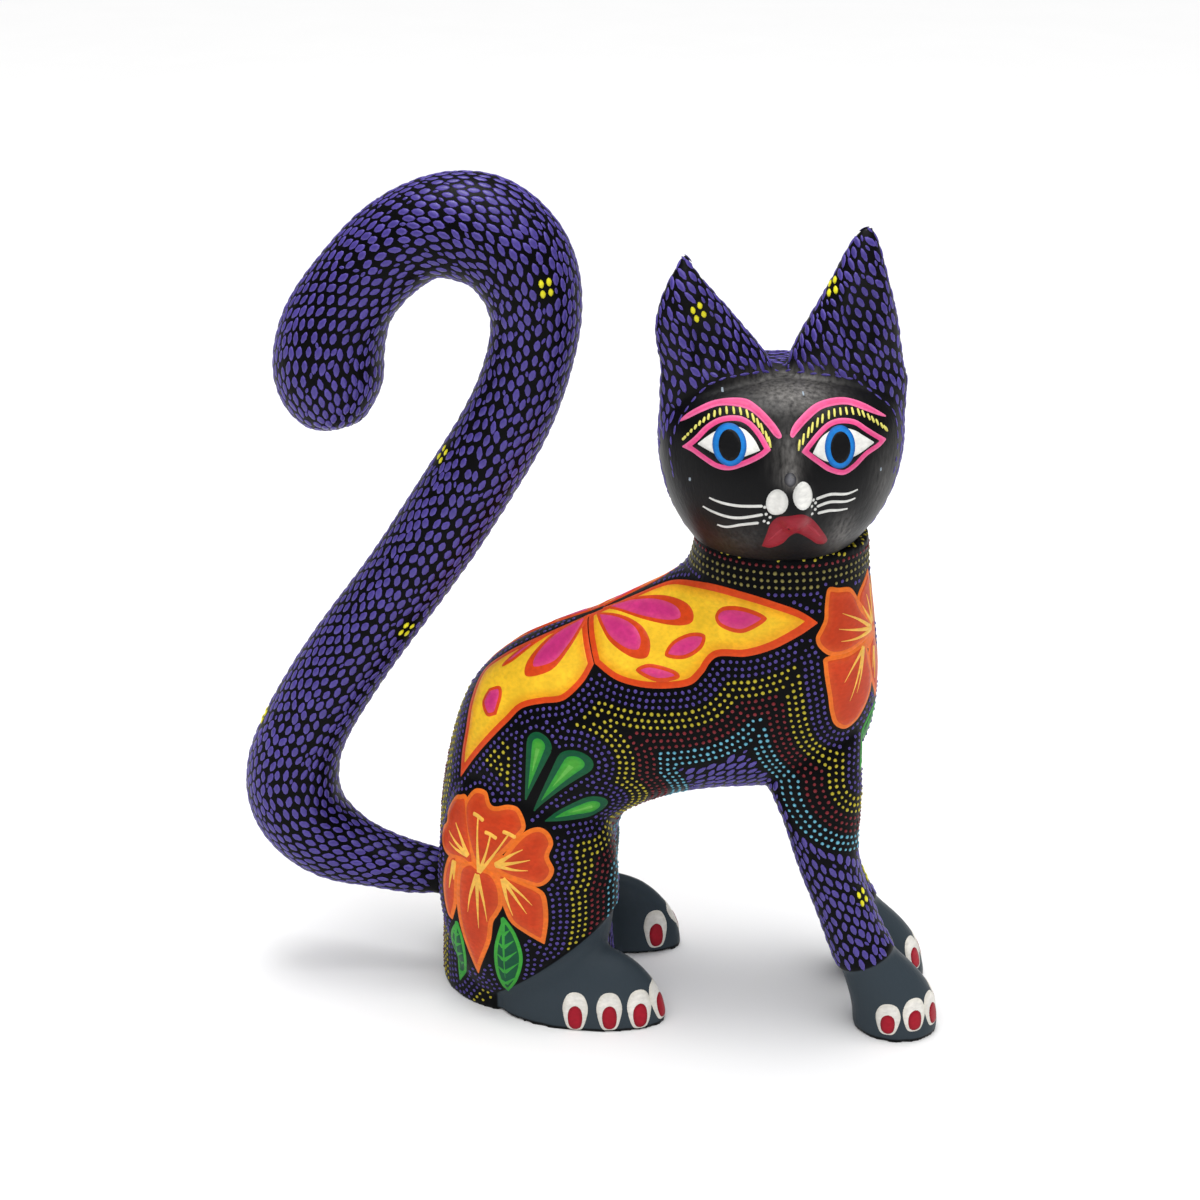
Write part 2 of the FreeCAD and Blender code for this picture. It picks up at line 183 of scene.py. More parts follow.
class Skin:
    """The surface of a sanded piece, for a brush to touch: points, normals and triangles."""

    def __init__(self, thing):
        mesh = thing.data
        mesh.calc_loop_triangles()
        self.points = points_of(mesh)
        self.triangles = np.empty(len(mesh.loop_triangles) * 3, np.int32)
        mesh.loop_triangles.foreach_get("vertices", self.triangles)
        self.triangles = self.triangles.reshape(-1, 3)
        self.normals = np.empty(len(self.points) * 3)
        mesh.vertices.foreach_get("normal", self.normals)
        self.normals = self.normals.reshape(-1, 3)
        self.tree = BVHTree.FromPolygons(self.points.tolist(), self.triangles.tolist())

    def soft_normal(self, index):
        return Vector(self.normals[self.triangles[index]].sum(0)).normalized()

    def touch(self, start, way):
        """Where a ray meets the skin, or the nearest place if it just passes by."""
        place, _, index, _ = self.tree.ray_cast(start, way)
        if place is None:
            place, _, index, _ = self.tree.find_nearest(start + way * REACH)
        return place, self.soft_normal(index)

    def nearest(self, place):
        place, _, index, _ = self.tree.find_nearest(place)
        return place, self.soft_normal(index), int(self.triangles[index][0])


# Rays start this far out, in metres.  The other sizes are in millimetres, and set the slanting line
# at which the grey starts on each paw and the step that the knife has left there.
REACH = 0.2
PAW_STEP = 0.9
STEP_RUN = 1.6
FADE_START = 1.25
FADE_RUN = 16
SEAT_LINE = 1.1
HIND_PAW_SLOPE = 0.80
HIND_PAW_RISE = 13.0
HIND_PAW_INNER = 8.0
HIND_PAW_FRONT = 60.0
HIND_PAW_BACK = -8.0
FORE_PAW_SLOPE = 0.45
FORE_PAW_RISE = -22.3
LEFT_LEG_BACK = 5.0


def paw_depth(points):
    """How far inside a paw's grey each point lies, in millimetres; less than nothing outside it."""
    x, y, z = (points / MM).T
    hind = np.minimum(HIND_PAW_SLOPE * x - z + HIND_PAW_RISE, np.abs(y) - HIND_PAW_INNER)
    hind = np.minimum(hind, np.minimum(HIND_PAW_FRONT - x, x - HIND_PAW_BACK))
    forward = np.where(y > 0, x + LEFT_LEG_BACK, x)
    fore = np.minimum(FORE_PAW_SLOPE * forward + FORE_PAW_RISE - z, forward - HIND_PAW_FRONT)
    return np.maximum(hind, fore)


def carve_paws(points, normals):
    """Leaves the haunch a little proud of the paw, with a soft step where the grey starts."""
    depth = paw_depth(points)
    step = np.clip(depth / STEP_RUN + 0.5, 0, 1) * np.clip(FADE_START - depth / FADE_RUN, 0, 1)
    return points - normals * (step * PAW_STEP * MM)[:, None]


def keep_value(thing, name, values):
    """Stores one number for each point of a piece, for its paint."""
    attribute = thing.data.attributes.new(name, "FLOAT", "POINT")
    attribute.data.foreach_set("value", np.asarray(values, np.float32))


body = sanded("body_carving", ["body"], SANDING_GRID, rounds=14, shape=carve_paws)
body_skin = Skin(body)
seat_rise = body_skin.points[:, 2] / MM - SEAT_LINE
keep_value(body, "paw_depth", np.minimum(paw_depth(body_skin.points), seat_rise))


def brushed_coat(name, second, amount, low, high, gloss, streaky=False):
    """Acrylic paint brushed on sanded copal, under a thin varnish.

    The coat is black and nearly even; the knife's flats and the brush's hairs show only as soft
    waves in the gloss.  A second colour comes in where the stored amount goes from low to high: grey
    paint on the paws, and on the face a grey that is partly dry-brushed paint and partly painted
    highlight.  It may come in streaks, where a dry brush has dragged it.
    """
    material, tree, shader = new_material(name)
    place = add(tree, "ShaderNodeTexCoord").outputs["Object"]
    hairs = add(tree, "ShaderNodeMapping", {"Vector": place, "Scale": (900, 900, 260)})
    grain = add(tree, "ShaderNodeTexNoise", {"Vector": hairs.outputs[0], "Scale": 1.0, "Detail": 3.0})
    flats = add(tree, "ShaderNodeTexNoise", {"Vector": place, "Scale": 150.0, "Detail": 1.0})
    waves = add(tree, "ShaderNodeMath", {0: grain.outputs["Fac"], 1: flats.outputs["Fac"]})
    bump = add(
        tree, "ShaderNodeBump",
        {"Height": waves.outputs[0], "Distance": 0.25 * MM, "Strength": 0.4},
    )
    tree.links.new(bump.outputs[0], shader.inputs["Normal"])
    stored = add(tree, "ShaderNodeAttribute", attribute_name=amount)
    share = add(
        tree, "ShaderNodeMapRange",
        {"Value": stored.outputs["Fac"], "From Min": low, "From Max": high},
    ).outputs[0]
    if streaky:
        dry = add(
            tree, "ShaderNodeMapRange",
            {"Value": grain.outputs["Fac"], "From Min": 0.2, "From Max": 0.75},
        )
        share = add(
            tree, "ShaderNodeMath", {0: share, 1: dry.outputs[0]}, operation="MULTIPLY",
        ).outputs[0]
    mix = add(
        tree, "ShaderNodeMix", {"Factor": share, "A": linear(BLACK), "B": linear(second)},
        data_type="RGBA",
    )
    tree.links.new(mix.outputs["Result"], shader.inputs["Base Color"])
    shader.inputs["Roughness"].default_value = 0.4
    shader.inputs["Specular IOR Level"].default_value = gloss
    return material


body.data.materials.append(
    brushed_coat("black_and_grey_acrylic", PAW_GREY, "paw_depth", low=-0.3, high=0.3, gloss=0.07))
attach(body, "figure")
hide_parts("body")

# ---------------------------------------------------------------- neck dowel and tail peg
# Both are whittled round from a harder wood and left bare.  The dowel is glued into neck and head,
# out of sight; the peg is a loose push fit in the rump, and the tail turns on it.


def whittled_hardwood():
    """Bare hardwood: pale tan with fine lengthwise grain, matt, no varnish."""
    material, tree, shader = new_material("whittled_hardwood")
    place = add(tree, "ShaderNodeTexCoord").outputs["Object"]
    along = add(tree, "ShaderNodeMapping", {"Vector": place, "Scale": (120, 900, 900)})
    grain = add(tree, "ShaderNodeTexNoise", {"Vector": along.outputs[0], "Scale": 1.0, "Detail": 4.0})
    mix = add(
        tree, "ShaderNodeMix",
        {"Factor": grain.outputs["Fac"], "A": linear("#A67C4E"), "B": linear("#DDBE94")},
        data_type="RGBA",
    )
    tree.links.new(mix.outputs["Result"], shader.inputs["Base Color"])
    shader.inputs["Roughness"].default_value = 0.7
    return material


peg_wood = whittled_hardwood()
for node in ("neck_dowel", "tail_peg"):
    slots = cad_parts[node].data.materials
    slots.clear()
    slots.append(peg_wood)

# ---------------------------------------------------------------- head and ears
# Two wooden blades, the ears, are glued into pockets in the carved head, and the joins are filled and
# sanded over, so the three look like one.  The face keeps its nose ridge and its grey, partly dragged
# on with a dry brush and partly painted highlight on the forehead, nose and cheek.

HEAD_TURN = math.radians(12)
FACE_PITCH = math.radians(12)
FACE_MIDDLE = Vector((70, 0, 176)) * MM
NOSE_LINE = -2.7


class FlatSheet:
    """A flat drawing in millimetres, laid on a skin along one direction; side -1 mirrors it."""

    def __init__(self, middle, out, right, side=1):
        self.middle = Vector(middle)
        self.out = Vector(out).normalized()
        self.right = (Vector(right) - self.out * self.out.dot(Vector(right))).normalized()
        self.up = self.out.cross(self.right)
        self.side = side

    def flip(self, vector):
        return Vector((vector.x, vector.y * self.side, vector.z))

    def line(self, u, v):
        start = self.middle + self.right * (u * MM) + self.up * (v * MM) + self.out * REACH
        return self.flip(start), self.flip(-self.out)

    def flatten(self, points):
        away = points * np.array((1, self.side, 1)) - np.array(self.middle)
        return np.stack([away @ np.array(self.right), away @ np.array(self.up)], 1) / MM


class RoundSheet:
    """A drawing wrapped round an upright axis: millimetres of arc and of height."""

    def __init__(self, axis, radius, start, turn, side=1):
        self.axis = axis
        self.radius = radius
        self.start = start
        self.turn = turn
        self.side = side

    def line(self, u, v):
        angle = self.start + self.turn * u / self.radius
        way = Vector((math.cos(angle), math.sin(angle) * self.side, 0))
        return Vector((self.axis * MM, 0, v * MM)) + way * REACH, -way

    def flatten(self, points):
        x = points[:, 0] - self.axis * MM
        angle = self.turn * (np.arctan2(points[:, 1] * self.side, x) - self.start)
        angle = (angle + np.pi) % (2 * np.pi) - np.pi
        return np.stack([angle * self.radius, points[:, 2] / MM], 1)


face = FlatSheet(
    FACE_MIDDLE,
    (math.sin(HEAD_TURN) * math.cos(FACE_PITCH), -math.cos(HEAD_TURN) * math.cos(FACE_PITCH),
     math.sin(FACE_PITCH)),
    (math.cos(HEAD_TURN), math.sin(HEAD_TURN), 0),
)


def bell(value, middle, spread):
    return np.exp(-((value - middle) / spread) ** 2)


def face_relief(points, normals):
    """Leaves the nose, brow and muzzle proud, and hollows the eyes a little."""
    u, v = face.flatten(points).T
    depth = (points - np.array(FACE_MIDDLE)) @ np.array(face.out) / MM
    bridge = 1.5 * bell(u, NOSE_LINE, 3.6) * bell(v, 3, 9)
    brow = 0.9 * bell(u, NOSE_LINE, 17) * bell(v, 15.5, 4.5)
    tip = 2.2 * bell(u, NOSE_LINE, 2.4) * bell(v, -3.2, 2.8)
    muzzle = 1.0 * bell(u, NOSE_LINE, 8) * bell(v, -12, 6)
    eyes = -0.8 * (bell(u, -17, 8) + bell(u, 12, 8)) * bell(v, 4, 6.5)
    lift = (bridge + brow + tip + muzzle + eyes) * np.clip(depth / 15, 0, 1)
    return points + np.array(face.out) * (lift * MM)[:, None]


HEAD_GRID = 0.8 * MM
HEAD_PARTS = ["head", "right_ear", "left_ear"]
head = sanded("head_and_ears", HEAD_PARTS, HEAD_GRID, rounds=12, shape=face_relief)
head_skin = Skin(head)
FACE_EDGE = [(-31.2, -4), (-32, 4.5), (-28.5, 13), (-21.5, 20.5), (-13, 22.8), (-4, 23.2), (5, 22.7),
             (16.5, 21), (23, 16.7), (28, 12.2), (29.2, 5), (28.6, -5), (26.2, -14), (21.5, -21),
             (16, -28), (6, -32), (-4, -33), (-16, -30), (-24.5, -21), (-28.5, -13)]


def dry_brush_and_painted_highlight(points):
    """Where grey lightens the black: partly dry-brushed paint, partly painted highlight where light catches the
    forehead, nose bridge, chin and one cheek.
    """
    u, v = face.flatten(points).T
    spots = 1.1 * bell(u, 0, 9.5) * bell(v, 19, 4.2) + 0.35 * bell(u, NOSE_LINE, 4) * bell(v, 3, 6)
    spots += 0.8 * bell(u, NOSE_LINE, 2.0) * bell(v, -3.2, 2.2) + 0.45 * bell(u, 14, 4) * bell(v, -21, 6)
    spots += 0.25 * bell(u, 25, 3.5) * bell(v, -8, 9) + 0.15 * bell(u, -14, 8) * bell(v, -22, 5)
    return np.clip(spots, 0, 1) * np.clip(head_skin.normals @ np.array(face.out), 0, 1)


# Pale grey on the face's black: partly dry-brushed paint, partly painted highlight on forehead, nose and cheek.
keep_value(head, "sheen", dry_brush_and_painted_highlight(head_skin.points))
head.data.materials.append(
    brushed_coat(
        "black_acrylic_dry_brush_and_painted_highlight", "#B4B0AC", "sheen", low=0.0, high=1.0, gloss=0.13, streaky=True))
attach(head, "figure")
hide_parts("head", "right_ear", "left_ear")

# ---------------------------------------------------------------- tail
# A naturally crooked branch, thin at its root and thick at the curled end, sanded round and brushed
# black before it goes on its peg.

tail = sanded("tail_branch", ["tail"], SANDING_GRID, rounds=6)
tail_skin = Skin(tail)
keep_value(tail, "sheen", np.zeros(len(tail_skin.points)))
tail.data.materials.append(
    brushed_coat(
        "black_acrylic_on_branch", "#2A2A2E", "sheen", low=0.5, high=1.0, gloss=0.07, streaky=True))
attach(tail, "tail")
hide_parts("tail")

# ---------------------------------------------------------------- wings painted on the back
# A butterfly lies over the back with two wings down each flank.  Each wing is laid on in acrylic as
# an orange-red shape, a smaller yellow one over it, and marks of orange and then magenta on top.

PAINT_GRID = 1.15
FINE_GRID = 0.8
PAINT_SINK = 0.04
RIM = 0.3
AT_EDGE = 0.02


def smooth_line(points, step=0.5, closed=False):
    """A smooth line through given points; a point given twice running is a sharp corner."""
    points = [np.array(p, float) for p in points]
    count = len(points)
    line = []
    for at in range(count if closed else count - 1):
        one, two = points[at], points[(at + 1) % count]
        if np.allclose(one, two):
            continue
        before = points[at - 1] if closed or at else one
        after = points[(at + 2) % count] if closed or at + 2 < count else two
        go = (two - before) / 2 if not np.allclose(one, before) else (two - one) * 0.5
        stop = (after - one) / 2 if not np.allclose(two, after) else (two - one) * 0.5
        length = max(np.linalg.norm((two - one)[:2]), step)
        for t in np.arange(0, 1 - 1e-9, 1 / math.ceil(length / step)):
            line.append(
                (2 * t**3 - 3 * t**2 + 1) * one + (t**3 - 2 * t**2 + t) * go
                + (3 * t**2 - 2 * t**3) * two + (t**3 - t**2) * stop)
    if not closed:
        line.append(points[-1])
    return np.array(line)


def inside(loop, points):
    """Which points lie inside a closed line."""
    x, y = points[:, 0, None], points[:, 1, None]
    ax, ay = loop.T
    bx, by = np.roll(loop, -1, 0).T
    crossing = (ay > y) != (by > y)
    with np.errstate(divide="ignore", invalid="ignore"):
        at = ax + (y - ay) * (bx - ax) / (by - ay)
    return (crossing & (x < at)).sum(1) % 2 == 1


def reach_to(loop, points):
    """How far each point is from a closed line."""
    start = loop[None]
    way = np.roll(loop, -1, 0)[None] - start
    away = points[:, None] - start
    share = np.clip((away * way).sum(2) / np.maximum((way**2).sum(2), 1e-12), 0, 1)
    return np.sqrt(((away - way * share[..., None]) ** 2).sum(2).min(1))


def inset(loop, amount):
    """The same closed shape, smaller all round by an amount in millimetres."""
    ahead = np.roll(loop, -1, 0) - np.roll(loop, 1, 0)
    side = np.stack([-ahead[:, 1], ahead[:, 0]], 1)
    side /= np.maximum(np.linalg.norm(side, axis=1), 1e-9)[:, None]
    area = (loop[:, 0] * np.roll(loop[:, 1], -1) - np.roll(loop[:, 0], -1) * loop[:, 1]).sum()
    moved = loop + side * amount * (1 if area > 0 else -1)
    keep = inside(loop, moved) & (reach_to(loop, moved) > abs(amount) * 0.93)
    return moved[keep]


def brush_stroke(points, widths, step=0.5):
    """The outline of one brush stroke along given points, with a width at each of them."""
    line = smooth_line([(*p, w) for p, w in zip(points, widths)], step)
    path, half = line[:, :2], np.maximum(line[:, 2:], 0.12) / 2
    ahead = np.gradient(path, axis=0)
    ahead /= np.maximum(np.linalg.norm(ahead, axis=1), 1e-9)[:, None]
    side = np.stack([-ahead[:, 1], ahead[:, 0]], 1)
    start = path[:1] - ahead[:1] * half[0] * 0.9
    stop = path[-1:] + ahead[-1:] * half[-1] * 0.9
    return np.concatenate([start, path - side * half, stop, (path + side * half)[::-1]])


def oval(middle, wide, tall, lean=0.0, corners=18):
    """An oval outline, leaning clockwise by an angle in degrees."""
    lean = math.radians(-lean)
    turn = np.linspace(0, 2 * np.pi, corners, endpoint=False)
    x, y = np.cos(turn) * wide / 2, np.sin(turn) * tall / 2
    return np.stack([middle[0] + x * math.cos(lean) - y * math.sin(lean),
                     middle[1] + x * math.sin(lean) + y * math.cos(lean)], 1)


coats = {}


def fill(coat, skin, sheet, outline, lift):
    """Paints the smooth shape that has an outline of given points."""
    paint(coat, skin, sheet, smooth_line(outline, closed=True), lift)


def paint(coat, skin, sheet, loop, lift, grid=PAINT_GRID):
    """Adds one area of paint: a thin film over the skin, proud by its lift, its edge sunk in."""
    loop = np.asarray(loop)
    if len(loop) < 3:
        return
    low, high = loop.min(0), loop.max(0)
    across, up = np.meshgrid(np.arange(low[0], high[0], grid), np.arange(low[1], high[1], grid * 0.87))
    across[1::2] += grid / 2
    field = np.stack([across.ravel(), up.ravel()], 1)
    rim = inset(loop, RIM)
    if len(field):
        field = field[inside(loop, field)]
    if len(field):
        field = field[reach_to(loop, field) > RIM + grid * 0.4]
    flat = np.concatenate([loop, rim, field]) if len(rim) else np.concatenate([loop, field])
    count = len(loop)
    edges = [(i, (i + 1) % count) for i in range(count)]
    flat_points = [Vector(p) for p in flat.tolist()]
    found, _, faces, _, _, _ = geometry.delaunay_2d_cdt(flat_points, edges, [], 1, 1e-4)
    points = []
    edge_far = reach_to(loop, np.array([tuple(p) for p in found]))
    for place, far in zip(found, edge_far):
        on, normal = skin.touch(*sheet.line(place.x, place.y))
        points.append(on + normal * ((-PAINT_SINK if far < AT_EDGE else lift) * MM))
    store = coats.setdefault(coat, {"points": [], "faces": [], "depth": []})
    base = len(store["points"])
    store["points"] += points
    store["depth"] += edge_far.tolist()
    for a, b, c in faces:
        normal = (points[b] - points[a]).cross(points[c] - points[a])
        out = skin.nearest((points[a] + points[b] + points[c]) / 3)[1]
        corners = (a, b, c) if normal.dot(out) > 0 else (a, c, b)
        store["faces"].append(tuple(base + i for i in corners))


def both_sides(sheet):
    """The same drawing on the right side and mirrored on the left."""
    if isinstance(sheet, FlatSheet):
        return sheet, FlatSheet(sheet.middle, sheet.out, sheet.right, -1)
    return sheet, RoundSheet(sheet.axis, sheet.radius, sheet.start, sheet.turn, -1)


wing_sheet = FlatSheet(Vector((20, 0, 118)) * MM, (-0.30, -0.67, 0.68), (0.87, 0, 0.50))
FOREWING = [(-0.6, 2.9), (-0.6, 2.9), (-1.2, -16), (-1.2, -16), (3, -22.5), (9, -27), (16, -30), (23, -31.5),
            (28, -30), (28, -30), (33, -28), (41, -31), (49, -32), (57, -31), (63, -29), (63, -29),
            (60, -26), (54, -22), (46, -16), (38, -9), (29, -1), (23, 1.6), (15, 2.4), (6, 2.8)]
HINDWING = [(-0.8, 2.9), (-0.8, 2.9), (-1.3, -16), (-1.3, -16), (-6, -20), (-13, -22.5), (-19, -21), (-19, -21),
            (-26, -19.5), (-32, -21), (-42, -23), (-55, -25), (-55, -25), (-51, -19), (-47, -14),
            (-43, -7), (-37, 1), (-29, 2.2), (-19, 2.2), (-10, 2.4)]
WING_MARKS = [
    [(0, 3), (0, 3), (-9, 1.5), (-15, -1), (-21, -6), (-22.5, -10.5), (-19, -12.5), (-13, -12.5),
     (-7, -8), (-3, -3)],
    [(3, 3.4), (3, 3.4), (10, 2.3), (16, 0.5), (24, -4), (30, -10), (31.5, -14.5), (29.5, -17),
     (24, -15), (16, -9), (8, -1)],
    [(1.5, 2.5), (1.5, 2.5), (8, -2), (13, -7), (16, -12), (16.5, -17), (14, -20.5), (9.5, -18.5),
     (5, -12), (3, -5)],
    [(37, -18.5), (40.5, -17.5), (47, -21), (51, -25.5), (43, -26), (37.5, -22)],
    [(19, -22), (22.5, -19), (28.5, -19), (32.5, -21.5), (30, -24.5), (24, -25)],
    [(9.5, -22.5), (14, -22), (20.5, -26.5), (20.5, -29), (14, -27.5)],
    [(-38.5, -11), (-35, -8), (-35, -8), (-31, -9.5), (-31, -13), (-34.5, -17.5), (-34.5, -17.5),
     (-38, -16)],
    [(-12, 1), (-20, 1.2), (-28, -1.5), (-29.5, -3.5), (-25, -3.5), (-18, -1)],
]
LONG_MARKS = 3
LONG_MARK_SHARE = 0.9
WING_LIFTS = {"border": 0.10, "yellow": 0.17, "mark": 0.235, "mark_middle": 0.33}
MARK_LIFT_STEP = 0.01
motifs = []
for wing in both_sides(wing_sheet):
    for outline in (FOREWING, HINDWING):
        loop = smooth_line(outline, closed=True)
        paint("wing_border", body_skin, wing, loop, WING_LIFTS["border"])
        paint("wing_yellow", body_skin, wing, inset(loop, 1.6), WING_LIFTS["yellow"])
        motifs.append((wing, loop))
    for number, outline in enumerate(WING_MARKS):
        loop = smooth_line(outline, closed=True)
        more = MARK_LIFT_STEP * number
        paint("wing_border", body_skin, wing, loop, WING_LIFTS["mark"] + more)
        middle = inset(loop, 1.0)
        if number < LONG_MARKS:
            middle = loop[0] + (middle - loop[0]) * LONG_MARK_SHARE
        paint("wing_magenta", body_skin, wing, middle, WING_LIFTS["mark_middle"] + more)

# ---------------------------------------------------------------- flowers on the haunches
# An open orange flower is painted on each haunch, with two veined leaves under it and three green
# buds above.  Each petal is an orange shape with a redder one inside, and light veins on top.

haunch_sheet = RoundSheet(0, 30, -math.pi / 2, 1)
HAUNCH_PETALS = [
    [(-22, 52.5), (-18, 54), (-18, 45), (-18.5, 38), (-21, 31), (-21, 31), (-23.5, 33), (-24.5, 43)],
    [(-17, 71), (-22, 71.5), (-25, 69), (-26.5, 65), (-25.5, 62), (-27.5, 59), (-26, 54.5), (-22, 52.5),
     (-17, 53), (-12, 53)],
    [(-11, 51.5), (-16, 61), (-18.5, 69), (-17.5, 73), (-15, 75.5), (-11, 75.5), (-9, 72.5), (-7, 72),
     (-3, 73), (0.5, 72), (2.5, 67), (0, 63), (-5, 57)],
    [(-6, 53.5), (-2, 61), (2, 65.5), (6, 67), (9, 65.5), (10.3, 62), (9, 58), (10.3, 54), (9, 50.5),
     (6, 48.5), (2, 49.5), (-4, 51.5)],
    [(-5.5, 52.5), (1, 50.5), (6, 48), (8, 45), (8.5, 37), (7.5, 28.5), (7.5, 28.5), (2, 32.5),
     (-2, 36), (-4, 41), (-5.5, 47)],
    [(-11, 53), (-7, 52), (-4.5, 48), (-4, 42), (-5.5, 38), (-7, 35), (-8.5, 27), (-14.5, 13),
     (-14.5, 13), (-17.5, 27), (-18.5, 35), (-18.5, 44), (-17.5, 51), (-14, 54)],
]
HAUNCH_VEINS = [
    ((-6, 54.5), [(3.2, 61), (5.5, 57.5), (4.5, 53.8)]),
    ((-4, 50.5), [(-0.5, 36.5), (3.8, 37.5), (5.3, 41)]),
    ((-11.5, 50.5), [(-15, 34.5), (-11.5, 29), (-8.5, 32.5)]),
    ((-14.8, 55.5), [(-23, 57.5), (-24, 61), (-21.5, 65)]),
    ((-19.5, 52), [(-21.5, 41), (-19.5, 45)]),
]
HAUNCH_STAMENS = [[(-11, 51), (-12, 61), (-12.5, 68)], [(-11, 51), (-9, 58), (-8, 63.5)],
                  [(-11, 51), (-6.5, 58), (-2.5, 64.5)]]
HAUNCH_LEAVES = [
    [(-4, 38), (-4, 38), (-0.5, 32), (1.2, 23), (-1, 14), (-5, 8), (-5, 8), (-7.5, 15), (-7.3, 26)],
    [(-19, 32), (-19, 32), (-17.5, 25), (-19, 15), (-26, 5), (-26, 5), (-26.5, 14), (-23.5, 25)],
]
HAUNCH_BUDS = [
    ((2, 73.5), (7.5, 96), 7.8), ((4.2, 70.5), (18, 91.5), 8.6), ((7.5, 68.5), (25, 73.5), 8.6),
]


FLOWER_LIFT = 0.10
PETAL_LIFT_STEP = 0.02
COAT_STEP = 0.06
VEIN_WIDE = 1.9
VEIN_BOW = 0.14


def fine_stroke(coat, skin, sheet, points, widest, lift):
    """One pull of a fine brush, thick where it lands and thin where it lifts off."""
    widths = [widest * (1 - 0.8 * at / (len(points) - 1)) for at in range(len(points))]
    paint(coat, skin, sheet, brush_stroke(points, widths), lift)


def vein_fan(skin, sheet, base, tips, lift):
    """Light veins fanning from a petal's root, bowed a little apart."""
    base = np.array(base, float)
    middle = np.mean(tips, 0)
    for tip in tips:
        tip = np.array(tip, float)
        belly = base + (tip - base) * 0.5 + (tip - middle) * VEIN_BOW
        fine_stroke("petal_vein", skin, sheet, [base, belly, tip], VEIN_WIDE, lift)


def flower(skin, sheet, heart, petals, veins, vein_lift):
    """Petals over an orange heart, each orange with a redder middle, and light veins on top."""
    paint("petal_edge", skin, sheet, heart, FLOWER_LIFT - PETAL_LIFT_STEP)
    for number, outline in enumerate(petals):
        loop = smooth_line(outline, closed=True)
        lift = FLOWER_LIFT + PETAL_LIFT_STEP * number
        paint("petal_edge", skin, sheet, loop, lift)
        paint("petal_red", skin, sheet, inset(loop, 1.15), lift + COAT_STEP)
        motifs.append((sheet, loop))
    for base, tips in veins:
        vein_fan(skin, sheet, base, tips, vein_lift)


RIB_WIDE = 1.6
SIDE_VEIN_WIDE = 1.8
CLEAR_OF_EDGE = 0.45
LEAF_VEINS = (0.22, 0.38, 0.54, 0.7, 0.86)
VEIN_REACHES = np.arange(1.0, 9.0, 0.2)


def leaf(skin, sheet, outline, lift):
    """A bright green leaf filled in dark, with its rib and side veins left bright."""
    loop = smooth_line(outline, closed=True)
    motifs.append((sheet, loop))
    paint("leaf_light", skin, sheet, loop, lift)
    paint("leaf_dark", skin, sheet, inset(loop, 0.95), lift + COAT_STEP)
    base = np.array(outline[0], float)
    tip = max((np.array(p, float) for p in outline), key=lambda p: np.linalg.norm(p - base))
    length = np.linalg.norm(tip - base)
    way = (tip - base) / length
    side = np.array((-way[1], way[0]))
    rib = [base + way, (base + tip) / 2, tip - way]
    fine_stroke("leaf_light", skin, sheet, rib, RIB_WIDE, lift + 2 * COAT_STEP)
    for share in LEAF_VEINS:
        root = base + way * length * share
        for turn in (-1, 1):
            slant = side * 0.7 * turn - way * 0.72
            ends = root + slant * VEIN_REACHES[:, None]
            clear = inside(loop, ends) & (reach_to(loop, ends) > CLEAR_OF_EDGE)
            if clear.any():
                end = ends[clear][-1]
                vein = [root, (root + end) / 2, end]
                fine_stroke("leaf_light", skin, sheet, vein, SIDE_VEIN_WIDE, lift + 0.13)


def teardrop(base, tip, wide):
    """A closed drop: a sharp end at the base and a round one at the tip."""
    way = (tip - base) / np.linalg.norm(tip - base)
    side = np.array((-way[1], way[0]))
    middle = tip - way * wide / 2
    open_to = math.pi / 2 + math.asin(wide / 2 / np.linalg.norm(middle - base))
    turn = np.linspace(open_to, -open_to, 15)[:, None]
    round_end = middle + (way * np.cos(turn) + side * np.sin(turn)) * wide / 2
    return smooth_line([base, base, *round_end], closed=True)


def bud(skin, sheet, base, tip, wide, lift):
    """A dark green teardrop with a bright one in it and one pale pull of the brush."""
    base, tip = np.array(base, float), np.array(tip, float)
    way = tip - base
    loop = teardrop(base, tip, wide)
    motifs.append((sheet, loop))
    paint("leaf_dark", skin, sheet, loop, lift)
    start, stop = base + way * 0.14, tip - way / np.linalg.norm(way) * 1.6
    paint("leaf_bright", skin, sheet, teardrop(start, stop, wide - 3.4), lift + COAT_STEP)
    pull = [tip - way * 0.2, base + way * 0.6, base + way * 0.4]
    fine_stroke("leaf_pale", skin, sheet, pull, wide * 0.22, lift + 0.1)


for haunch in both_sides(haunch_sheet):
    flower(body_skin, haunch, oval((-9.5, 53), 21, 12), HAUNCH_PETALS, HAUNCH_VEINS, 0.32)
    for points in HAUNCH_STAMENS:
        paint("petal_vein", body_skin, haunch, brush_stroke(points, [1.6, 1.0, 0.9]), 0.34)
        u, v = points[-1]
        cap = [(u - 1.8, v + 0.5), (u, v + 0.1), (u + 1.9, v - 0.8)]
        paint("petal_vein", body_skin, haunch, brush_stroke(cap, [1.5, 1.5, 1.5]), 0.36)
    for outline in HAUNCH_LEAVES:
        leaf(body_skin, haunch, outline, FLOWER_LIFT)
    for base, tip, wide in HAUNCH_BUDS:
        bud(body_skin, haunch, base, tip, wide, FLOWER_LIFT + PETAL_LIFT_STEP)

# ---------------------------------------------------------------- flower on each side of the chest
# The same flower again, smaller, on the front of each shoulder, its petals meeting over the chest.

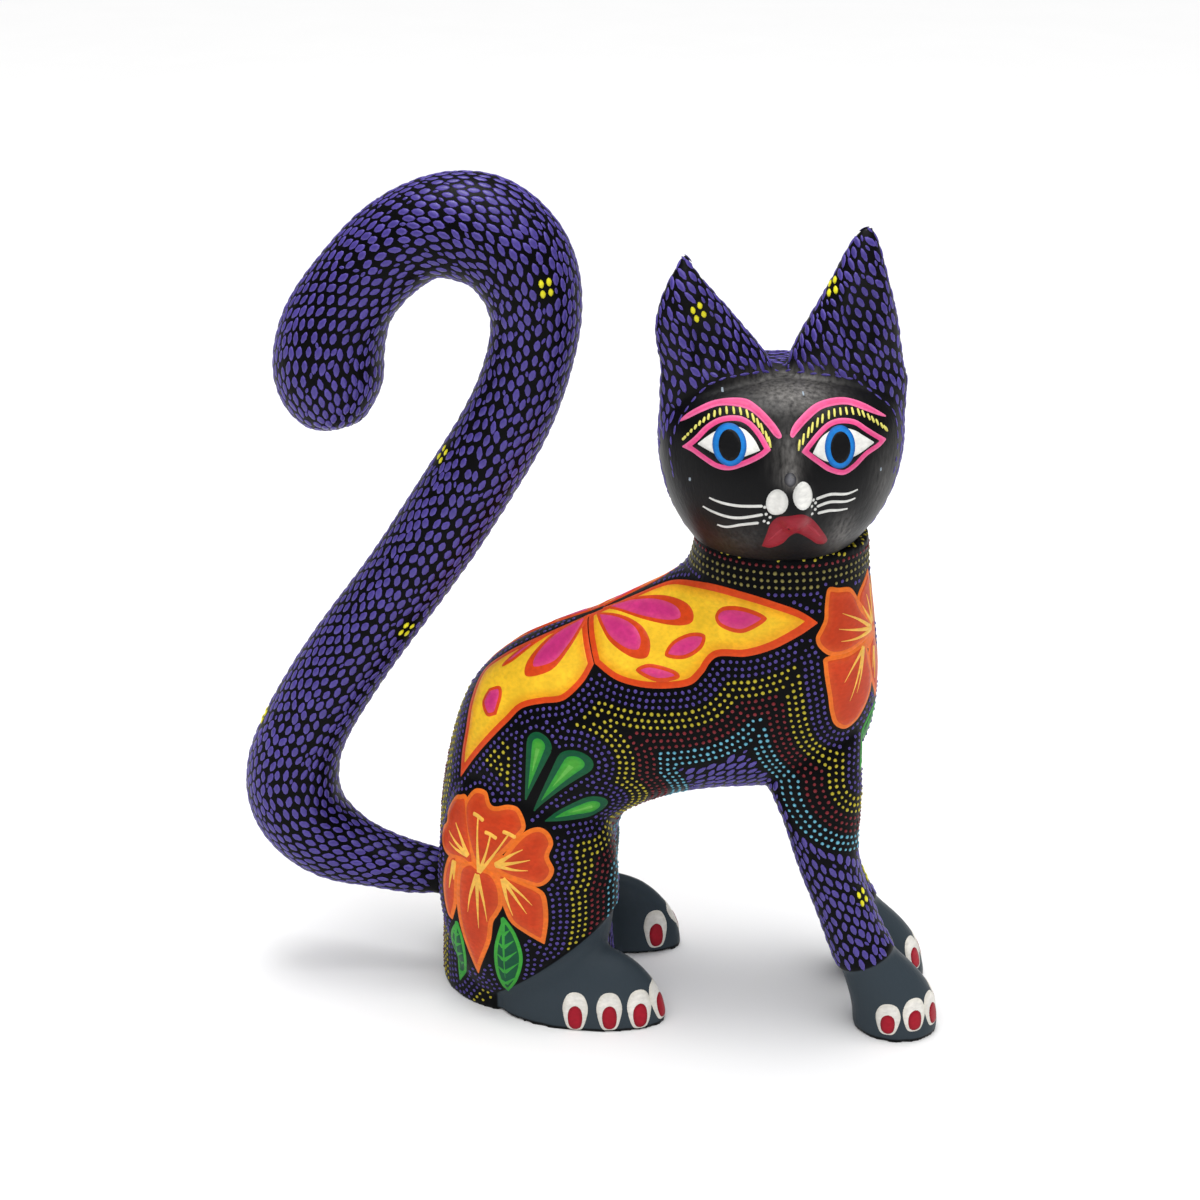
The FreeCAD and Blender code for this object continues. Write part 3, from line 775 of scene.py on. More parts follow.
chest_sheet = RoundSheet(72, 28, 0, -1)
CHEST_PETALS = [
    [(9, 122), (10.5, 117), (9, 111), (4, 103), (4, 103), (1.5, 108), (1.5, 116), (4, 123)],
    [(4, 143), (4, 143), (12, 139), (14, 136), (12, 133), (7, 128), (4, 123), (1.2, 128), (1.2, 136)],
    [(26, 142.5), (22, 142), (17, 141), (14, 138), (12, 134), (6.5, 128), (6, 125), (13, 123.5),
     (20, 122.5), (26, 123), (30, 126), (31, 129), (29.5, 131.5), (28, 134), (27.5, 138)],
    [(12, 123.5), (9.5, 117), (8.3, 112), (9.5, 107), (13, 102.5), (16, 100), (20, 99), (24, 101.5),
     (26, 106), (27, 111), (28, 116), (28.5, 120), (28, 123), (20, 123)],
]
CHEST_VEINS = [
    ((6.5, 125.8), [(23.5, 135.5), (25.5, 131), (25, 127)]),
    ((13, 122.4), [(23, 112.5), (20.5, 105.5), (17.5, 107.5)]),
    ((5.5, 127), [(12, 135), (8.5, 138)]),
    ((6, 120), [(6.5, 109), (8, 113)]),
]
CHEST_STAMEN = [(5, 127), (4.2, 133), (3.4, 138)]
CHEST_LEAF = [(3, 102), (3, 102), (9, 99), (13, 92), (15, 84), (15, 84), (9.5, 88), (4.5, 94)]
for chest in both_sides(chest_sheet):
    flower(body_skin, chest, oval((7, 124), 11, 8), CHEST_PETALS, CHEST_VEINS, 0.28)
    paint("petal_vein", body_skin, chest, brush_stroke(CHEST_STAMEN, [1.4, 1.0, 1.6]), 0.3)
    leaf(body_skin, chest, CHEST_LEAF, FLOWER_LIFT)

# ---------------------------------------------------------------- nails
# Each toe has an egg-shaped white nail with a dark red drop at its foot, painted, not carved.

HIND_NAILS = [
    (16.9, -31.6, 6.4), (27.1, -30.7, 6.7), (35.9, -28, 6.7), (41.6, -22.8, 7.6), (40, -14.8, 8.2),
]
FORE_NAILS = [(109.4, -25, 7.8), (117.2, -23.2, 9.0), (122, -18, 8.7), (120.5, -11, 9.3)]
LEFT_HIND_BACK = 4.0
HIND_NAIL_SIZE = (7.9, 12.4)
FORE_NAIL_SIZE = (7.6, 10.6)
NAIL_EGG = [(0, 0.5), (-0.32, 0.42), (-0.49, 0.14), (-0.43, -0.18), (-0.27, -0.45), (0, -0.5),
            (0.27, -0.45), (0.43, -0.18), (0.49, 0.14), (0.32, 0.42)]
NAIL_DROP = [(0.02, 0.18), (-0.22, 0.09), (-0.3, -0.13), (-0.22, -0.39), (0, -0.47), (0.24, -0.39),
             (0.31, -0.13), (0.24, 0.09)]


def nail(place, wide, tall):
    """One nail, drawn square on to the toe."""
    on, out, _ = body_skin.nearest(Vector(place) * MM)
    level = Vector((-out.y, out.x, 0)).normalized()
    sheet = FlatSheet(on, Vector((out.x, out.y, out.z * 0.4)), level)
    for coat, shape, lift in (("nail_white", NAIL_EGG, 0.18), ("nail_red", NAIL_DROP, 0.32)):
        outline = [(across * wide, up * tall) for across, up in shape]
        paint(coat, body_skin, sheet, smooth_line(outline, 1.0, closed=True), lift, FINE_GRID)


for nails, back, (wide, tall) in ((HIND_NAILS, LEFT_HIND_BACK, HIND_NAIL_SIZE),
                                  (FORE_NAILS, LEFT_LEG_BACK, FORE_NAIL_SIZE)):
    for x, y, z in nails:
        nail((x, y, z), wide, tall)
        nail((x - back, -y, z), wide, tall)

# ---------------------------------------------------------------- the painted face
# Eyes, brows, nose, whiskers and mouth are brushed on the black in acrylic, in several passes.

BROWS = [
    [(-30.7, 10.0), (-30.7, 10.0), (-27.9, 12.9), (-24.2, 15.2), (-20.5, 16.7), (-16.3, 17.3), (-12.7, 17.1),
     (-10.3, 15.7), (-8, 13.5), (-5.6, 10.5), (-4.4, 8.0), (-5.2, 7.2), (-6.5, 8.0), (-8.2, 10.3),
     (-10.6, 12.9), (-13, 14.5), (-16.6, 15.2), (-20.2, 15.0), (-24.4, 13.3), (-28, 11.3)],
    [(-2.4, 8.2), (-1.5, 10.4), (1, 12.9), (4.7, 15.5), (8.8, 16.7), (13.4, 16.9), (17.8, 15.7), (21.8, 13.7),
     (26.8, 10.6), (26.8, 10.6), (23.3, 11.5), (18.6, 13.3), (14.2, 14.9), (9.6, 14.8), (6.1, 13.8),
     (2.5, 11.2), (-0.2, 8.7), (-1.6, 7.4)],
]
EYES = [
    [(-29.6, 4), (-29.6, 4), (-26.7, 6.8), (-23.6, 10.2), (-20.5, 12.2), (-17.3, 13), (-14.3, 12.8),
     (-11.8, 11.4), (-9.4, 8.5), (-7.2, 4.3), (-7.2, 4.3), (-9.6, 2.2), (-13.7, 0), (-17.8, -1.4),
     (-21.3, -0.9), (-24.8, 1.3), (-27.2, 3)],
    [(0.4, 3.7), (0.4, 3.7), (2.7, 6.3), (5.6, 9.2), (8.5, 11.2), (12, 11.9), (16, 11.2), (19.4, 9),
     (22.4, 7.1), (25.3, 5.4), (25.3, 5.4), (23, 3.5), (19.2, 1.5), (15.7, -1.5), (12.3, -3.1),
     (8.2, -2), (4.8, 0.3)],
]
WHITES = [
    [(-26, 5.2), (-26, 5.2), (-22.7, 8), (-19.5, 9.8), (-16, 10.4), (-13.3, 9.4), (-11.1, 6.9),
     (-9.7, 4), (-9.7, 4), (-12.7, 2.7), (-16, 1.6), (-20.5, 2.3)],
    [(3.3, 3.1), (3.3, 3.1), (5.4, 6.7), (7.8, 8.6), (11, 9.7), (15.2, 8.8), (18, 7.2), (21.6, 4.9),
     (21.6, 4.9), (18, 2.8), (15.6, 1.6), (11, 0.2), (7, 0.8)],
]
IRISES = [(-17.6, 5.4), (11.2, 4.4)]
IRIS_SIZE = (9.0, 11.6)
PUPIL_SIZE = (6.1, 8.7)
for outlines, middle_coat, lift, border in ((BROWS, "face_deep_pink", 0.10, 0.35),
                                            (EYES, "face_black", 0.12, 1.25)):
    for outline in outlines:
        loop = smooth_line(outline, closed=True)
        paint("face_pink", head_skin, face, loop, lift)
        paint(middle_coat, head_skin, face, inset(loop, border), lift + COAT_STEP)
for outline in WHITES:
    fill("face_white", head_skin, face, outline, 0.24)
for u, v in IRISES:
    paint("iris_blue", head_skin, face, oval((u, v), *IRIS_SIZE, 0, 36), 0.34, FINE_GRID)
    paint("pupil_black", head_skin, face, oval((u + 0.1, v - 0.1), *PUPIL_SIZE, 0, 30), 0.44, FINE_GRID)
LASHES = 19
LASH_CROWDING = 1.2
LASH_LINES = [
    ([(-29, 6.2), (-26, 9.6), (-22.2, 12.6), (-18, 14.1), (-14, 13.9), (-11.2, 12.2), (-9.2, 9.4),
      (-7.6, 6.3)], 1, [1.2, 2.0, 2.4, 3.0, 3.5]),
    ([(25.2, 7.9), (21.6, 10.5), (17.4, 12.9), (12.8, 13.5), (8.6, 12.8), (4.9, 10.7), (2.3, 8.1),
      (0, 5.5)], -1, [2.0, 2.6, 2.6, 3.1, 3.5]),
]
LASH_WIDTHS = [0.55, 0.78, 0.5]
LASH_SHARES = [0, 0.25, 0.5, 0.75, 1]
LASH_LEANS = [0.5, 0.35, 0.0, -0.22, -0.16]
for line, hand, lengths in LASH_LINES:
    lid = smooth_line(line, 0.3)
    for share in np.linspace(0, 1, LASHES) ** LASH_CROWDING:
        middle = lid[round(share * (len(lid) - 1))]
        half = np.interp(share, LASH_SHARES, lengths) / 2 - 0.25
        way = np.array((np.interp(share, LASH_SHARES, LASH_LEANS) * hand, 1.0))
        way *= half / np.linalg.norm(way)
        lash = brush_stroke([middle + way, middle, middle - way], LASH_WIDTHS, 0.6)
        paint("lash_yellow", head_skin, face, lash, 0.22, FINE_GRID)
WHISKERS = [
    [(-24, -8.6), (-20, -10.4), (-15, -11.2), (-9.2, -11.0)],
    [(-25.7, -11), (-21, -13.6), (-15.5, -14.8), (-9, -13.5)],
    [(-21.5, -16.6), (-18, -17.8), (-14, -16.8), (-9.8, -16)],
    [(18.8, -6.7), (14, -8.4), (9, -8.2), (5.2, -9.2)],
    [(18.3, -9.2), (14, -10.6), (9, -10.4), (5.6, -11.4)],
    [(16.6, -12.6), (12, -13), (9, -12.9), (6, -13.4)],
]
WHISKER_WIDTHS = [0.35, 0.8, 0.95, 0.95]
for points in WHISKERS:
    paint("face_white", head_skin, face, brush_stroke(points, WHISKER_WIDTHS), 0.14, 0.9)
# Grey paint on the nose tip, black at its edge; its pale middle is a painted highlight on the tip.
paint("nose_grey_with_painted_highlight", head_skin, face, oval((NOSE_LINE, -3.2), 3.2, 4.0, 0, 16), 0.12, FINE_GRID)
NOSE_WHITES = [((-5.6, -9.8), 5.4, 7.4, 5), ((0.9, -7.8), 5.6, 7.9, -8)]
for middle, wide, tall, lean in NOSE_WHITES:
    paint("face_white", head_skin, face, oval(middle, wide, tall, lean, 22), 0.34, FINE_GRID)
MUZZLE_DOTS = [(-8.5, -11.3), (-8, -13.3), (-6.9, -14.2), (-8.3, -15.4), (-7.2, -15.9),
               (4.2, -9.4), (4.9, -10.3), (3.8, -11.1), (5.0, -12.2), (4.2, -13.4)]
for middle in MUZZLE_DOTS:
    paint("face_white", head_skin, face, oval(middle, 0.95, 1.1, 0, 8), 0.16, FINE_GRID)
MOUTH = [(-8, -23.4), (-8, -23.4), (-7.3, -19.3), (-6.6, -16.1), (-4.8, -13.9), (-2.5, -13.2), (1.2, -12.9),
         (4.7, -15.2), (8.1, -19.2), (9.9, -22), (9.2, -23.3), (7, -23.1), (4.4, -21.2), (1, -19.3),
         (-1, -20.2), (-2.6, -22.5), (-5.6, -23.9)]
MOUTH_LIGHTS = [[(-6.6, -21.5), (-4, -18.4), (-2, -16.4)], [(7.6, -20.6), (5, -18), (2.6, -16)]]
STRAY_MARKS = [(-18.4, 19.1), (2.5, 18.1), (-27.3, -4.7), (23.6, -2.7)]
fill("mouth_red", head_skin, face, MOUTH, 0.16)
for points in MOUTH_LIGHTS:
    paint("mouth_light", head_skin, face, brush_stroke(points, [0.6, 1.2, 0.5]), 0.24)
for middle in STRAY_MARKS:
    paint("whisker_grey", head_skin, face, oval(middle, 0.7, 1.9, 0, 8), 0.12, FINE_GRID)


def acrylic(name, edge, middle, reach):
    """Craft acrylic: opaque, satin, slightly streaked where the brush ran, darker in pools.

    The edge colour turns into the middle colour over a reach in millimetres from the outline.
    """
    material, tree, shader = new_material(name)
    place = add(tree, "ShaderNodeTexCoord").outputs["Object"]
    hairs = add(tree, "ShaderNodeMapping", {"Vector": place, "Scale": (700, 500, 1100)})
    grain = add(tree, "ShaderNodeTexNoise", {"Vector": hairs.outputs[0], "Scale": 1.0, "Detail": 2.0})
    wash = add(tree, "ShaderNodeTexNoise", {"Vector": place, "Scale": 130.0, "Detail": 2.0})
    stored = add(tree, "ShaderNodeAttribute", attribute_name="depth")
    share = add(
        tree, "ShaderNodeMapRange",
        {"Value": stored.outputs["Fac"], "From Min": reach * 0.2, "From Max": reach},
    )
    mix = add(
        tree, "ShaderNodeMix", {"Factor": share.outputs[0], "A": linear(edge), "B": linear(middle)},
        data_type="RGBA",
    )
    uneven = add(
        tree, "ShaderNodeMath", {0: grain.outputs["Fac"], 1: wash.outputs["Fac"]}, operation="MULTIPLY",
    )
    value = add(
        tree, "ShaderNodeMapRange",
        {"Value": uneven.outputs[0], "From Min": 0.12, "From Max": 0.42, "To Min": 0.84, "To Max": 1.1},
    )
    shade = add(
        tree, "ShaderNodeHueSaturation", {"Value": value.outputs[0], "Color": mix.outputs["Result"]})
    tree.links.new(shade.outputs[0], shader.inputs["Base Color"])
    bump = add(
        tree, "ShaderNodeBump", {"Height": grain.outputs["Fac"], "Distance": 0.2 * MM, "Strength": 0.35},
    )
    tree.links.new(bump.outputs[0], shader.inputs["Normal"])
    shader.inputs["Roughness"].default_value = 0.42
    shader.inputs["Specular IOR Level"].default_value = 0.17
    return material


COATS = {
    "wing_border": ("#DE4C18", "#DA4616", 1.0, "painted_body"),
    "wing_yellow": ("#F2AA1E", "#FCC82C", 3.0, "painted_body"),
    "wing_magenta": ("#DC4480", "#D0347E", 2.0, "painted_body"),
    "petal_edge": ("#EC7422", "#EA7024", 1.0, "painted_body"),
    "petal_red": ("#CE4A1E", "#C63C14", 2.5, "painted_body"),
    "petal_vein": ("#F4B84A", "#F6C45A", 0.6, "painted_body"),
    "leaf_dark": ("#07522F", "#065034", 1.5, "painted_body"),
    "leaf_bright": ("#2E9434", "#48A236", 1.5, "painted_body"),
    "leaf_light": ("#2E9A3C", "#3CA234", 0.5, "painted_body"),
    "leaf_pale": ("#5CB048", "#6CB850", 0.6, "painted_body"),
    "nail_white": ("#E2DED4", "#ECE9E2", 1.5, "painted_body"),
    "nail_red": ("#8C0C20", "#A81228", 1.2, "painted_body"),
    "face_pink": ("#EE6FA0", "#E8508C", 0.8, "painted_head"),
    "face_deep_pink": ("#E8588E", "#DC4480", 0.9, "painted_head"),
    "face_black": ("#0A0A0C", "#0C0C0E", 1.0, "painted_head"),
    "face_white": ("#DCDCD8", "#F2F1EC", 0.9, "painted_head"),
    "iris_blue": ("#1458A4", "#1F7ED2", 1.0, "painted_head"),
    "pupil_black": ("#08080A", "#0E0E10", 1.0, "painted_head"),
    "lash_yellow": ("#D8D060", "#EEE884", 0.4, "painted_head"),
    "mouth_red": ("#8A1626", "#98202F", 2.0, "painted_head"),
    "mouth_light": ("#A02A3A", "#AC323F", 0.5, "painted_head"),
    # The nose film's pale middle is a painted highlight on the nose tip.
    "nose_grey_with_painted_highlight": ("#2A2A2E", "#77777C", 1.4, "painted_head"),
    "whisker_grey": ("#8C98A4", "#A4B2BE", 0.5, "painted_head"),
}
for coat, (edge, middle, reach, slot) in COATS.items():
    store = coats[coat]
    film = mesh_object(f"paint_{coat}", store["points"], store["faces"])
    keep_value(film, "depth", store["depth"])
    film.data.materials.append(acrylic(f"acrylic_{coat}", edge, middle, reach))
    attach(film, "figure")

# ---------------------------------------------------------------- rows of dots round the motifs
# Dots set with the end of a stick follow the motifs outward in rows: three violet, three yellow,
# three dark red, three light blue.  Each dot is a small raised bead of acrylic.

ROW_START = 1.55
ROW_STEP = 1.95
DOT_PITCH = 1.95
DOT_SIZE = 1.17
DOT_SHIFT = 0.1
DOT_ROOM = 0.8
ON_BLACK = -1.0
OFF_FLOOR = 1.2
ROW_COLOURS = ["violet"] * 3 + ["yellow"] * 3 + ["dark_red"] * 3 + ["light_blue"] * 3


def laid(sheet, skin, loop):
    """The points of a drawn line, laid on a skin."""
    return [skin.touch(*sheet.line(u, v))[0] for u, v in loop]


def nearest_of(places):
    """A search tree over some places."""
    tree = KDTree(len(places))
    for index, place in enumerate(places):
        tree.insert(place, index)
    tree.balance()
    return tree


def motif_distance(skin, drawings):
    """How far each skin point is from the nearest drawn shape, less than nothing inside one."""
    lines = [(sheet, loop, laid(sheet, skin, loop)) for sheet, loop in drawings]
    edge = nearest_of([place for _, _, places in lines for place in places])
    far = np.array([edge.find(p)[2] for p in skin.points.tolist()]) / MM
    for sheet, loop, places in lines:
        own = nearest_of(places)
        flat = sheet.flatten(skin.points)
        low, high = loop.min(0), loop.max(0)
        close = np.nonzero(((flat > low) & (flat < high)).all(1))[0]
        close = close[inside(loop, flat[close])]
        ways = np.array([tuple(sheet.line(*flat[i])[1]) for i in close]).reshape(-1, 3)
        close = close[(skin.normals[close] * ways).sum(1) < -0.1]
        span = np.linalg.norm(high - low)
        for index in close:
            if own.find(skin.points[index])[2] / MM < span / 2:
                far[index] = -abs(far[index])
    return far


def level_lines(skin, values, level):
    """The lines on a skin where its values pass a level, each a list of places in order."""
    above = values[skin.triangles] > level
    mixed = skin.triangles[above.any(1) & ~above.all(1)]
    links = {}
    for corners in mixed.tolist():
        ends = []
        for a, b in ((0, 1), (1, 2), (2, 0)):
            one, two = corners[a], corners[b]
            if (values[one] > level) != (values[two] > level):
                ends.append((min(one, two), max(one, two)))
        links.setdefault(ends[0], []).append(ends[1])
        links.setdefault(ends[1], []).append(ends[0])

    def place(edge):
        share = (level - values[edge[0]]) / (values[edge[1]] - values[edge[0]])
        return skin.points[edge[0]] * (1 - share) + skin.points[edge[1]] * share

    lines = []
    used = set()
    for start in sorted(links, key=lambda edge: (len(links[edge]), edge)):
        if start in used:
            continue
        line = [start]
        used.add(start)
        while True:
            following = [edge for edge in links[line[-1]] if edge not in used]
            if not following:
                break
            line.append(following[0])
            used.add(following[0])
        lines.append(np.array([place(edge) for edge in line]))
    return lines


def spaced(line, pitch):
    """Places along a line, as evenly spaced as a painter's dots."""
    run = np.concatenate([[0], np.cumsum(np.linalg.norm(np.diff(line, axis=0), axis=1))])
    count = int(run[-1] / (pitch * MM))
    if count < 1:
        return []
    at = (np.arange(count) + 0.5) * run[-1] / count
    return np.stack([np.interp(at, run, line[:, axis]) for axis in range(3)], 1)


def dab_tree():
    """Instances one bead of paint, domed and pinched at its ends, on every point given."""
    tree = bpy.data.node_groups.new("painted_dabs", "GeometryNodeTree")
    sockets = tree.interface
    sockets.new_socket("Geometry", in_out="INPUT", socket_type="NodeSocketGeometry")
    for name in ("Width", "Length", "Height", "Pinch", "Unevenness"):
        sockets.new_socket(name, in_out="INPUT", socket_type="NodeSocketFloat")
    sockets.new_socket("Seed", in_out="INPUT", socket_type="NodeSocketInt")
    sockets.new_socket("Paint", in_out="INPUT", socket_type="NodeSocketMaterial")
    sockets.new_socket("Geometry", in_out="OUTPUT", socket_type="NodeSocketGeometry")
    start = add(tree, "NodeGroupInput")
    bead = add(
        tree, "GeometryNodeMeshCone",
        {"Vertices": 8, "Side Segments": 2, "Radius Top": 0.5, "Radius Bottom": 1.0, "Depth": 1.0},
        fill_type="TRIANGLE_FAN",
    )
    place = add(tree, "GeometryNodeInputPosition")
    parts = add(tree, "ShaderNodeSeparateXYZ", {0: place.outputs[0]})
    level = add(tree, "ShaderNodeCombineXYZ", {"X": parts.outputs["X"], "Y": parts.outputs["Y"]})
    radius = add(tree, "ShaderNodeVectorMath", {0: level.outputs[0]}, operation="LENGTH")
    square = add(
        tree, "ShaderNodeMath", {0: radius.outputs["Value"], 1: radius.outputs["Value"]},
        operation="MULTIPLY",
    )
    drop = add(tree, "ShaderNodeMath", {0: 1.0, 1: square.outputs[0]}, operation="SUBTRACT")
    along = add(
        tree, "ShaderNodeMath", {0: parts.outputs["Y"], 1: parts.outputs["Y"]}, operation="MULTIPLY",
    )
    pinch = add(
        tree, "ShaderNodeMath", {0: along.outputs[0], 1: start.outputs["Pinch"]}, operation="MULTIPLY",
    )
    narrow = add(tree, "ShaderNodeMath", {0: 1.0, 1: pinch.outputs[0]}, operation="SUBTRACT")
    across = add(
        tree, "ShaderNodeMath", {0: parts.outputs["X"], 1: narrow.outputs[0]}, operation="MULTIPLY",
    )
    domed = add(
        tree, "ShaderNodeCombineXYZ",
        {"X": across.outputs[0], "Y": parts.outputs["Y"], "Z": drop.outputs[0]},
    )
    marked = add(
        tree, "GeometryNodeStoreNamedAttribute",
        {"Geometry": bead.outputs["Mesh"], "Name": "rim", "Value": radius.outputs["Value"]},
        data_type="FLOAT", domain="POINT",
    )
    lens = add(
        tree, "GeometryNodeSetPosition", {"Geometry": marked.outputs[0], "Position": domed.outputs[0]},
    )
    normal = add(tree, "GeometryNodeInputNamedAttribute", {"Name": "out"}, data_type="FLOAT_VECTOR")
    ahead = add(tree, "GeometryNodeInputNamedAttribute", {"Name": "ahead"}, data_type="FLOAT_VECTOR")
    turn = add(
        tree, "FunctionNodeAxesToRotation",
        {"Primary Axis": normal.outputs[0], "Secondary Axis": ahead.outputs[0]},
        primary_axis="Z", secondary_axis="Y",
    )
    least = add(tree, "ShaderNodeMath", {0: 1.0, 1: start.outputs["Unevenness"]}, operation="SUBTRACT")
    most = add(tree, "ShaderNodeMath", {0: 1.0, 1: start.outputs["Unevenness"]})
    pick = add(
        tree, "FunctionNodeRandomValue",
        {"Min": least.outputs[0], "Max": most.outputs[0], "Seed": start.outputs["Seed"]},
        data_type="FLOAT_VECTOR",
    )
    half = add(
        tree, "ShaderNodeCombineXYZ",
        {"X": start.outputs["Width"], "Y": start.outputs["Length"], "Z": start.outputs["Height"]},
    )
    size = add(
        tree, "ShaderNodeVectorMath", {0: half.outputs[0], 1: pick.outputs[0]}, operation="MULTIPLY",
    )
    spread = add(
        tree, "GeometryNodeInstanceOnPoints",
        {"Points": start.outputs["Geometry"], "Instance": lens.outputs[0],
         "Rotation": turn.outputs[0], "Scale": size.outputs[0]},
    )
    real = add(tree, "GeometryNodeRealizeInstances", {"Geometry": spread.outputs[0]})
    smooth = add(tree, "GeometryNodeSetShadeSmooth", {"Geometry": real.outputs[0]})
    coated = add(
        tree, "GeometryNodeSetMaterial",
        {"Geometry": smooth.outputs[0], "Material": start.outputs["Paint"]},
    )
    add(tree, "NodeGroupOutput", {"Geometry": coated.outputs[0]})
    return tree


painted_dabs = dab_tree()


def beads(name, marks, wide, long, tall, pinch, uneven, seed, paint_of, part):
    """One mesh of beads of one colour: each mark is a place, its normal and its direction."""
    points = [place - out * (PAINT_SINK * MM) for place, out, _ in marks]
    thing = mesh_object(name, points, [])
    for key, index in (("out", 1), ("ahead", 2)):
        attribute = thing.data.attributes.new(key, "FLOAT_VECTOR", "POINT")
        attribute.data.foreach_set("vector", [c for mark in marks for c in mark[index]])
    modifier = thing.modifiers.new("dabs", "NODES")
    modifier.node_group = painted_dabs
    values = {"Width": wide * MM / 2, "Length": long * MM / 2, "Height": (tall + PAINT_SINK) * MM,
              "Pinch": pinch, "Unevenness": uneven, "Seed": seed, "Paint": paint_of}
    for item in painted_dabs.interface.items_tree:
        if item.in_out == "INPUT" and item.name in values:
            modifier[item.identifier] = values[item.name]
    bake_modifiers(thing)
    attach(thing, part)
    return thing


def bead_paint(name, rim, middle, gloss=0.25):
    """A bead of craft acrylic: satin and domed, paler at its thin rim than in its thick middle."""
    material, tree, shader = new_material(name)
    stored = add(tree, "ShaderNodeAttribute", attribute_name="rim")
    share = add(
        tree, "ShaderNodeMapRange",
        {"Value": stored.outputs["Fac"], "From Min": 0.45, "From Max": 0.95},
    )
    mix = add(
        tree, "ShaderNodeMix", {"Factor": share.outputs[0], "A": linear(middle), "B": linear(rim)},
        data_type="RGBA",
    )
    place = add(tree, "ShaderNodeTexCoord").outputs["Object"]
    patch = add(tree, "ShaderNodeTexNoise", {"Vector": place, "Scale": 220.0, "Detail": 2.0})
    value = add(
        tree, "ShaderNodeMapRange",
        {"Value": patch.outputs["Fac"], "From Min": 0.3, "From Max": 0.7,
         "To Min": 0.86, "To Max": 1.12},
    )
    shade = add(
        tree, "ShaderNodeHueSaturation", {"Value": value.outputs[0], "Color": mix.outputs["Result"]})
    tree.links.new(shade.outputs[0], shader.inputs["Base Color"])
    shader.inputs["Roughness"].default_value = 0.38
    shader.inputs["Specular IOR Level"].default_value = gloss
    return material


DOT_PAINTS = {
    # A darker copy of the yellow dot paint for the collar: painted shade under the head.
    "shaded_collar_yellow": bead_paint("yellow_acrylic_dots_in_painted_shade", "#6E6636", "#8A8248"),
    "violet": bead_paint("violet_acrylic_dots", "#5C4C9C", "#4A3C8A"),
    "yellow": bead_paint("yellow_acrylic_dots", "#A09222", "#BBAD2C"),
    "dark_red": bead_paint("dark_red_acrylic_dots", "#5E1A22", "#7E2028"),
    "light_blue": bead_paint("light_blue_acrylic_dots", "#4C94AC", "#6CB2C8"),
}


class Marks:
    """Beads already set, found again by place, so that a new one never lands on another."""

    def __init__(self, cell):
        self.cell = cell
        self.cells = {}

    def key(self, place):
        return tuple(math.floor(c / self.cell) for c in place)

    def put(self, place, ahead=None):
        self.cells.setdefault(self.key(place), []).append((place, ahead))

    def near(self, place):
        x, y, z = self.key(place)
        for i in (x - 1, x, x + 1):
            for j in (y - 1, y, y + 1):
                for k in (z - 1, z, z + 1):
                    yield from self.cells.get((i, j, k), ())

    def room(self, place, reach):
        return all((place - other).length > reach for other, _ in self.near(place))


draw = random.Random(11)
dots_set = Marks(3 * MM)
dots = {colour: [] for colour in DOT_PAINTS}
motif_far = motif_distance(body_skin, motifs)


def grey_at(place):
    return paw_depth(np.array([tuple(place)]))[0]


TAIL_SEAT = Vector((-28, 0, 32.6)) * MM
SEAT_CLEAR = 9.4
ROOT_CLEAR = 7.8
YELLOW_PATCH = [(-13, 84.5), (-4.8, 92.5), (-2.4, 88), (-2.8, 78.5), (-7, 80.5)]
in_patch = np.zeros(len(body_skin.points), bool)
for haunch in both_sides(haunch_sheet):
    in_patch |= inside(np.array(YELLOW_PATCH, float), haunch.flatten(body_skin.points))


def set_dot(place, colour):
    """Sets one dot if it has room and stays off the paws and the seat."""
    on, out, index = body_skin.nearest(Vector(place))
    if in_patch[index]:
        colour = "yellow"
    on += Vector([draw.uniform(-DOT_SHIFT, DOT_SHIFT) * MM for _ in range(3)])
    in_tail_seat = (on - TAIL_SEAT).length < SEAT_CLEAR * MM
    if grey_at(on) > ON_BLACK or on.z < OFF_FLOOR * MM or in_tail_seat:
        return
    if not dots_set.room(on, DOT_PITCH * DOT_ROOM * MM):
        return
    dots_set.put(on)
    ahead = out.orthogonal().normalized()
    dots[colour].append((on, out, ahead))


# A collar of rows goes round the neck under the jaw, as far as the motifs' own rows.  Its yellow rows
# are a darker yellow: painted shade, where the head shades the neck.
NECK_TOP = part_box("body")[1][2]
COLLAR = [
    (2.6, "dark_red"), (4.6, "shaded_collar_yellow"), (6.6, "shaded_collar_yellow"), (8.6, "shaded_collar_yellow"), (10.5, "violet"),
]
collar_far = (NECK_TOP - body_skin.points[:, 2]) / MM
for drop, colour in COLLAR:
    for line in level_lines(body_skin, collar_far, drop):
        for place in spaced(line, DOT_PITCH):
            if motif_far[body_skin.nearest(Vector(place))[2]] > ROW_START:
                set_dot(place, colour)
for row, colour in enumerate(ROW_COLOURS):
    level = ROW_START + ROW_STEP * row
    for line in level_lines(body_skin, motif_far, level):
        for place in spaced(line, DOT_PITCH):
            set_dot(place, colour)
for number, (colour, marks) in enumerate(dots.items()):
    beads(f"{colour}_dots", marks, wide=DOT_SIZE, long=DOT_SIZE, tall=0.28, pinch=0.0, uneven=0.14,
          seed=number, paint_of=DOT_PAINTS[colour], part="figure")

# ---------------------------------------------------------------- violet dabs over the rest
# Everything else is covered with violet brush dabs, pointed at both ends and laid like scales, each
# in the gap between two earlier ones, along the tail, down the legs and slanting up the ears.  Full
# dabs go on first, then two smaller sizes where a full one found no room.

DAB_WIDTHS = {"tail": 2.0, "body": 1.8, "head": 1.7}
DAB_LONG = 3.95
LANES = {"tail": 2.2, "body": 2.05, "head": 2.15}
STRIDE = 4.45
DAB_SHARES = (1.0, 0.8, 0.5)
DAB_SPREAD = 0.13
